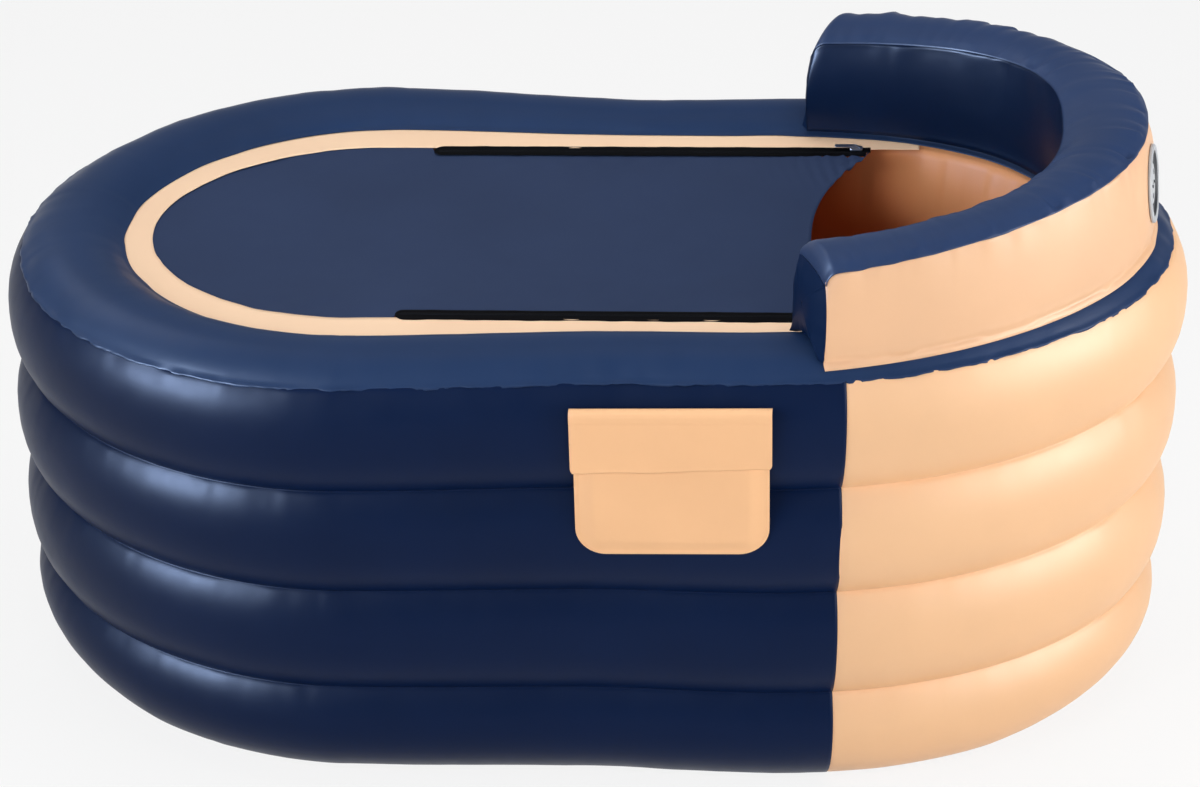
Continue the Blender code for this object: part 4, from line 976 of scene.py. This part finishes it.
# Zip sliders and pulls
# Plated die-cast sliders with a rounded bridge. A stamped pull tab with a long slot turns on each bridge.
slider_metal, metal_tree, metal_shader = new_finish("slider_metal")
set_inputs(metal_shader, Base_Color=(0.62, 0.62, 0.63, 1), Metallic=1)
metal_place = add_node(metal_tree, "ShaderNodeTexCoord")
metal_noise = add_node(metal_tree, "ShaderNodeTexNoise", Scale=900)
metal_range = add_node(metal_tree, "ShaderNodeMapRange", To_Min=0.22, To_Max=0.42)
metal_bump = add_node(metal_tree, "ShaderNodeBump", Strength=0.3, Distance=0.00003)
wire(
    metal_tree,
    (metal_place, "Object", metal_noise, "Vector"),
    (metal_noise, "Fac", metal_range, "Value"),
    (metal_range, "Result", metal_shader, "Roughness"),
    (metal_noise, "Fac", metal_bump, "Height"),
    (metal_bump, "Normal", metal_shader, "Normal"),
)


def finished_item(name, work, place, material):
    """Turns a worked shape into a piece at its place."""
    mesh = bpy.data.meshes.new(name)
    work.to_mesh(mesh)
    work.free()
    mesh.transform(place)
    mesh.shade_smooth()
    mesh.materials.append(material)
    return add_item(name, mesh)


def rounded_outline(length_from, length_to, half_wide, corner, steps=5):
    """A level outline of a rounded rectangle, anticlockwise."""
    points = []
    left, right, high = length_from + corner, length_to - corner, half_wide - corner
    for x, y, start in ((right, high, 0), (left, high, 90), (left, -high, 180), (right, -high, 270)):
        for step in range(steps + 1):
            angle = math.radians(start + 90 * step / steps)
            points.append((x + corner * math.cos(angle), y + corner * math.sin(angle)))
    return points


def stamped(name, outline, low, high, place, material, edge, hole=None):
    """A plate cut to an outline, with its edges rounded over, and a hole if one is given."""
    work = bmesh.new()

    def ring(points, z):
        return [work.verts.new((x, y, z)) for x, y in points]

    levels = [ring(outline, low), ring(outline, high)]
    count = len(outline)
    for c in range(count):
        n = (c + 1) % count
        work.faces.new((levels[0][c], levels[0][n], levels[1][n], levels[1][c]))
    if hole is None:
        work.faces.new(levels[0][::-1])
        work.faces.new(levels[1])
    else:
        inner = [ring(hole, low), ring(hole, high)]
        for c in range(count):
            n = (c + 1) % count
            work.faces.new((inner[0][n], inner[0][c], inner[1][c], inner[1][n]))
            work.faces.new((levels[1][c], levels[1][n], inner[1][n], inner[1][c]))
            work.faces.new((levels[0][n], levels[0][c], inner[0][c], inner[0][n]))
    item = finished_item(name, work, place, material)
    soften = item.modifiers.new("soften", "BEVEL")
    soften.width = edge
    soften.segments = 3
    soften.limit_method = "ANGLE"
    soften.harden_normals = True
    return item


cover_slope = math.atan(wall_height * head_rise_share / half_length)
slider_x, slider_y, slider_z, slider_middle = 0.35199, 0.2193, 0.66273, 0.0058
bridge_level, pull_level = 0.0033, 0.0058
for label, side in (("near", -1), ("far", 1)):
    seat = Matrix.Translation((slider_x, side * slider_y, slider_z)) @ Matrix.Rotation(-cover_slope, 4, "Y")
    middle = side * slider_middle
    body_line = rounded_outline(-0.009, 0.009, 0.0055, 0.0030)
    pinched = [(x, y * (0.80 + 0.20 * min(1, abs(x + 0.002) / 0.006)) + middle) for x, y in body_line]
    slider = stamped(f"slider_body_{label}", pinched, 0.0002, 0.0034, seat, slider_metal, 0.0007)
    over = [(0, 0.0035), (0.0028, 0.0030), (0.0050, 0.0016), (0.0058, 0)]
    under = [(0.0044, 0), (0.0034, 0.0010), (0.0016, 0.0018), (0, 0.0020)]
    bridge_line = [(-x, y) for x, y in over[:0:-1]] + over + under + [(-x, y) for x, y in under[-2::-1]]
    upright = seat @ Matrix.Translation((0, middle, bridge_level)) @ Matrix.Rotation(math.pi / 2, 4, "X")
    bridge = stamped(f"slider_bridge_{label}", bridge_line, -0.0012, 0.0012, upright, slider_metal, 0.0003)
    for piece in (slider, bridge):
        settle_in(piece, f"slider_{label}", f"zip_slider_{label}")
    turn_at = seat @ Matrix.Translation((0, middle, pull_level))
    tab_line = rounded_outline(-0.030, 0.0008, 0.0038, 0.0024)
    tab_slot = rounded_outline(-0.0045, -0.0002, 0.0021, 0.0008)
    tab = stamped(f"pull_tab_{label}", tab_line, -0.0007, 0.0007, turn_at, slider_metal, 0.0003, tab_slot)
    settle_in(tab, f"pull_{label}", f"zip_pull_{label}")


# Pocket
# A flat pouch of apricot film on the near side, welded to the wall round its sides and its rounded
# bottom. A flap with a folded-over top edge hangs over its mouth from a strip welded to the wall.
pocket_middle, pocket_half, pocket_tall = 0.13114, 0.125, 0.222
pocket_deep, pocket_corner = 0.0085, 0.040
pocket_weld, pocket_rise, back_gap = 0.0055, 0.022, 0.0002
pocket_back_y, pocket_level, pocket_tilt, pocket_lean = -0.40194, 0.62694, 0.014, 0.024
pocket_apricot = (0.95, 0.55, 0.292)
pocket_film = film_finish("pocket_film", pocket_apricot, 0.5, drift=0.025, crumple=0.0006, crumple_scale=20)
pocket_seat = Matrix.Translation((pocket_middle, pocket_back_y, pocket_level))
pocket_seat[2][0], pocket_seat[0][2] = math.tan(cover_slope + pocket_tilt), -pocket_lean


def placed(rows, matrix):
    """Rows of points carried from a piece's own frame into the tub's."""
    grid = np.asarray(rows, float)
    turn, shift = np.array(matrix.to_3x3()), np.array(matrix.translation)
    return grid @ turn.T + shift


def pouch_half(down):
    """Half the pouch's width at a depth below its mouth: it narrows round the bottom corners."""
    left = np.clip(pocket_tall - down, 0, pocket_corner)
    chord = np.sqrt(np.maximum(pocket_corner**2 - (pocket_corner - left) ** 2, 0))
    return pocket_half - (pocket_corner - chord)


def pouch_grid(front):
    rows = []
    turn = np.linspace(0, math.pi / 2, 12)
    straight = np.linspace(0.002, pocket_tall - pocket_corner, 44)[:-1]
    rounded = pocket_tall - pocket_corner * (1 - np.sin(turn))
    for down in np.concatenate([straight, rounded]):
        half = float(pouch_half(down))
        u = np.sin(np.linspace(-math.pi / 2, math.pi / 2, 91)) * 0.35 + np.linspace(-1, 1, 91) * 0.65
        x = u * half
        from_edge = np.minimum(half - np.abs(x), pocket_tall - down)
        rise = np.clip((from_edge - pocket_weld) / pocket_rise, 0, 1)
        rise = rise * rise * (3 - 2 * rise)
        groove = 0.0005 * np.exp(-(((from_edge - 0.006) / 0.0012) ** 2))
        rim = 0.0011 + 0.0003 * np.clip(from_edge / 0.005, 0, 1) - groove
        slack = 0.0007 * np.sin(52 * x + 21 * down) * np.sin(37 * down + 1.7)
        slack = slack + 0.0005 * np.sin(24 * x - 60 * down)
        deep = rim + rise * (pocket_deep - 0.0026 + slack)
        rows.append(row_of(x, -deep if front else -back_gap, -down))
    return rows


for name, front, thickness in (("pouch_front", True, film), ("pouch_back", False, 0.0002)):
    pouch_rows = placed(pouch_grid(front), pocket_seat)
    pouch = film_sheet(name, pouch_rows, pocket_film, inside=True, thickness=thickness)
    settle_in(pouch, "tub", "pocket_pouch")

flap_half, flap_drop = 0.1285, 0.088
flap_columns = 97
flap_fold, flap_corner, flap_stand = 0.0126, 0.007, 0.0112
flap_x = np.linspace(-flap_half, flap_half, flap_columns)
flap_wave = 0.0016 * np.sin(21 * flap_x + 0.6) + 0.0007 * np.sin(63 * flap_x)
flap_rise = 0.0035 * np.clip((flap_x - 0.02) / 0.1, 0, 1)
flap_lift = 0.5 + 0.5 * np.sin(17 * flap_x + 2.0)
flap_profile = [(0.0, 0.0010), (0.0025, 0.0018), (0.0060, 0.0018), (0.0095, 0.0006), (0.0108, -0.0016)]
flap_rows = [row_of(flap_x, -y, z) for y, z in flap_profile]
for down in np.concatenate([np.linspace(0.005, 0.0125, 6), np.linspace(0.0150, flap_drop, 34)]):
    part = down / flap_drop
    fold_step = 0.0009 * (1 if down < flap_fold else math.exp(-(down - flap_fold) / 0.0012))
    hem = 0.0004 * math.exp(-(((flap_drop - down - 0.005) / 0.0010) ** 2))
    out = flap_stand + fold_step - hem + 0.0014 * part**2 * flap_lift
    out = out + 0.0006 * np.sin(34 * flap_x + 15 * down) * part
    corner = np.clip((down - flap_drop + flap_corner) / flap_corner, 0, 1)
    x = flap_x * (1 - 0.0028 / flap_half * corner**2)
    z = -down + (flap_rise + flap_wave) * part**3
    flap_rows.append(row_of(x, -out, z))
pocket_flap = film_sheet("pocket_flap_sheet", placed(flap_rows, pocket_seat), pocket_film, inside=True)
settle_in(pocket_flap, "flap_of_pocket", "pocket_flap")


# Air pump
# A battery pump let into the back of the backrest: a light grey moulded flange, a dark recess that
# stands as a collar round its middle, and a light grey selector cap with a slanted finger slot and two
# air holes. Its works sit in a case behind.


def moulded_finish(name, colour, roughness, metallic=0.0):
    """Moulded plastic or a plain can: a fine pressed texture and a gloss that varies with handling."""
    material = film_finish(name, colour, roughness, 0.5, 0.05, 0.00005, 0.00005, 90)
    material.node_tree.nodes["Principled BSDF"].inputs["Metallic"].default_value = metallic
    return material


flange_grey = moulded_finish("flange_grey", (0.47, 0.49, 0.52), 0.42)
recess_grey = moulded_finish("recess_grey", (0.030, 0.033, 0.040), 0.5)
cap_grey = moulded_finish("cap_grey", (0.50, 0.52, 0.55), 0.42)


def rounded_profile(points, radius, closed, steps=3):
    """Rounds the corners of a turned section."""
    out = []
    count = len(points)
    for index, point in enumerate(points):
        if not closed and index in (0, count - 1):
            out.append(point)
            continue
        here = np.array(point, float)
        before, after = np.array(points[index - 1], float), np.array(points[(index + 1) % count], float)
        ease = min(radius, 0.45 * np.linalg.norm(before - here), 0.45 * np.linalg.norm(after - here))
        start = here + (before - here) / np.linalg.norm(before - here) * ease
        end = here + (after - here) / np.linalg.norm(after - here) * ease
        for step in range(steps + 1):
            part = step / steps
            out.append(tuple(start * (1 - part) ** 2 + here * 2 * part * (1 - part) + end * part**2))
    return out


def turned(name, points, radius, place, material, closed=True, sides=96):
    """A piece turned about its Z, from a section of radius and height. Open sections end on the axis."""
    section = rounded_profile(points, radius, closed)
    work = bmesh.new()
    rings = []
    for r, z in section:
        if r < 1e-6:
            rings.append([work.verts.new((0, 0, z))])
            continue
        turns = [math.tau * side / sides for side in range(sides)]
        rings.append([work.verts.new((r * math.cos(a), r * math.sin(a), z)) for a in turns])
    pairs = list(zip(rings, rings[1:])) + ([(rings[-1], rings[0])] if closed else [])
    for low, high in pairs:
        for c in range(sides):
            n = (c + 1) % sides
            corners = [low[c % len(low)], low[n % len(low)], high[n % len(high)], high[c % len(high)]]
            work.faces.new(list(dict.fromkeys(corners)))
    bmesh.ops.recalc_face_normals(work, faces=work.faces)
    return finished_item(name, work, place, material)


bezel_line = [(0.0434, 0.0003), (0.052, 0.0003), (0.052, 0.0030), (0.0505, 0.0048), (0.0462, 0.0048)]
bezel_line += [(0.0455, 0.0042), (0.0441, 0.0042), (0.0434, 0.0036)]
pump_flange = turned("pump_flange", bezel_line, 0.0009, pump_seat, flange_grey)
settle_in(pump_flange, "tub", "pump_bezel")
dish_line = [(0.0053, -0.0119), (0.0431, -0.0119), (0.0431, 0.0037), (0.0417, 0.0037)]
dish_line += [(0.0400, 0.0006), (0.0312, 0.0006), (0.0302, -0.0103), (0.0053, -0.0103)]
pump_recess = turned("pump_recess", dish_line, 0.0010, pump_seat, recess_grey)
settle_in(pump_recess, "tub", "pump_dish")
cap_radius = 0.0285
cap_line = [(0.0, -0.0128), (0.0050, -0.0128), (0.0050, -0.0100), (cap_radius, -0.0100)]
cap_line += [(cap_radius, -0.0002), (cap_radius - 0.0018, 0.0014), (0.0150, 0.0024), (0.0, 0.0026)]
pump_cap = turned("pump_cap", cap_line, 0.0012, pump_seat, cap_grey, closed=False)


def cap_cutter(name, outline, low, high):
    """A helper that is taken out of the cap."""
    tool = stamped(name, outline, low, high, pump_seat, recess_grey, 0.0001)
    tool.modifiers.clear()
    cut = pump_cap.modifiers.new(name, "BOOLEAN")
    cut.operation = "DIFFERENCE"
    cut.solver = "EXACT"
    cut.material_mode = "TRANSFER"
    cut.object = tool
    return tool


def disc(x, y, radius, sides=24):
    turns = [math.tau * side / sides for side in range(sides)]
    return [(x + radius * math.cos(a), y + radius * math.sin(a)) for a in turns]


slit = [(-0.0160, 0.0062), (-0.0058, 0.0004), (-0.0008, 0.0052), (0.0145, -0.0022)]
slit_low = [(x, y - 0.0046) for x, y in slit]
cap_tools = [cap_cutter("cap_slit", slit_low + slit[::-1], -0.0040, 0.0040)]
for index, (x, y) in enumerate(((0.0095, 0.0125), (-0.0095, -0.0135))):
    cap_tools.append(cap_cutter(f"cap_hole_{index}", disc(x, y, 0.0042), -0.0050, 0.0040))
notch_count, notch_reach = 10, cap_radius + 0.0006
for index in range(notch_count):
    angle = math.tau * (index + 0.3) / notch_count
    notch_x, notch_y = notch_reach * math.cos(angle), notch_reach * math.sin(angle)
    notch = disc(notch_x, notch_y, 0.0018, 12)
    cap_tools.append(cap_cutter(f"cap_notch_{index}", notch, -0.0080, 0.0040))
keep_shape(pump_cap)
for tool in cap_tools:
    bpy.data.objects.remove(tool, do_unlink=True)
cap_edges = pump_cap.modifiers.new("edges", "BEVEL")
cap_edges.width, cap_edges.segments, cap_edges.limit_method = 0.0003, 2, "ANGLE"
cap_edges.angle_limit = math.radians(40)
cap_edges.harden_normals = True
settle_in(pump_cap, "selector", "pump_knob")

for name, colour, roughness, metallic, nodes in (
    ("case_black", (0.035, 0.038, 0.045), 0.55, 0, ("pump_case", "pump_motor_mount")),
    ("motor_steel", (0.62, 0.62, 0.63), 0.34, 1, ("pump_motor",)),
    ("blade_grey", (0.47, 0.49, 0.52), 0.45, 0, ("pump_impeller",)),
    ("wrap_blue", (0.036, 0.051, 0.108), 0.38, 0, ("pump_battery",)),
    ("board_green", (0.02, 0.12, 0.05), 0.4, 0, ("pump_circuit_board",)),
    ("flap_rubber", (0.012, 0.012, 0.013), 0.75, 0, ("pump_check_flap",)),
):
    finish = moulded_finish(name, colour, roughness, metallic)
    for node in nodes:
        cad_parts[node].data.materials.clear()
        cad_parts[node].data.materials.append(finish)


# Drain
# A short sleeve through the far side of the lowest roll, welded to both films by its flanges. A cap
# presses in from outside and a plug with a pull grip from inside.
drain_apricot = moulded_finish("drain_apricot", (0.88, 0.52, 0.30), 0.45)
drain_navy = moulded_finish("drain_navy", (0.006, 0.020, 0.072), 0.4)
drain_bore, drain_tube, drain_flange = 0.0140, 0.0160, 0.0280
sleeve_low = -drain_depth - 0.0025
sleeve_line = [(drain_bore, sleeve_low), (drain_flange, sleeve_low), (drain_flange, -drain_depth)]
sleeve_line += [(drain_tube, -drain_depth), (drain_tube, 0.0006), (drain_flange, 0.0006)]
sleeve_line += [(drain_flange, 0.0030), (0.0225, 0.0031), (drain_bore, 0.0031)]
drain_sleeve = turned("drain_sleeve_film", sleeve_line, 0.0007, drain_seat, drain_apricot)
cap_section = [(0.0, 0.0030), (0.0119, 0.0030), (0.0121, -0.0028), (0.0137, -0.0028), (0.0137, 0.0035)]
cap_section += [(0.0210, 0.0035), (0.0210, 0.0048), (0.0150, 0.0050), (0.0100, 0.0044), (0.0, 0.0044)]
drain_cap = turned("drain_cap_disc", cap_section, 0.0006, drain_seat, drain_navy, closed=False)
plug_seat = sleeve_low - 0.0003
plug_half = [(0.0, 0.0139), (0.0118, 0.0139), (0.0136, 0.0115), (0.0136, 0.0), (0.0190, 0.0)]
plug_half += [(0.0190, -0.0028), (0.0048, -0.0030), (0.0032, -0.0055), (0.0040, -0.0080)]
plug_half += [(0.0040, -0.0098), (0.0, -0.0100)]
plug_line = [(radius, plug_seat + level) for radius, level in plug_half]
drain_plug = turned("drain_plug_body", plug_line, 0.0008, drain_seat, drain_navy, closed=False)
settle_in(drain_sleeve, "tub", "drain_sleeve")
settle_in(drain_cap, "cap", "drain_cap")
settle_in(drain_plug, "plug", "drain_plug")
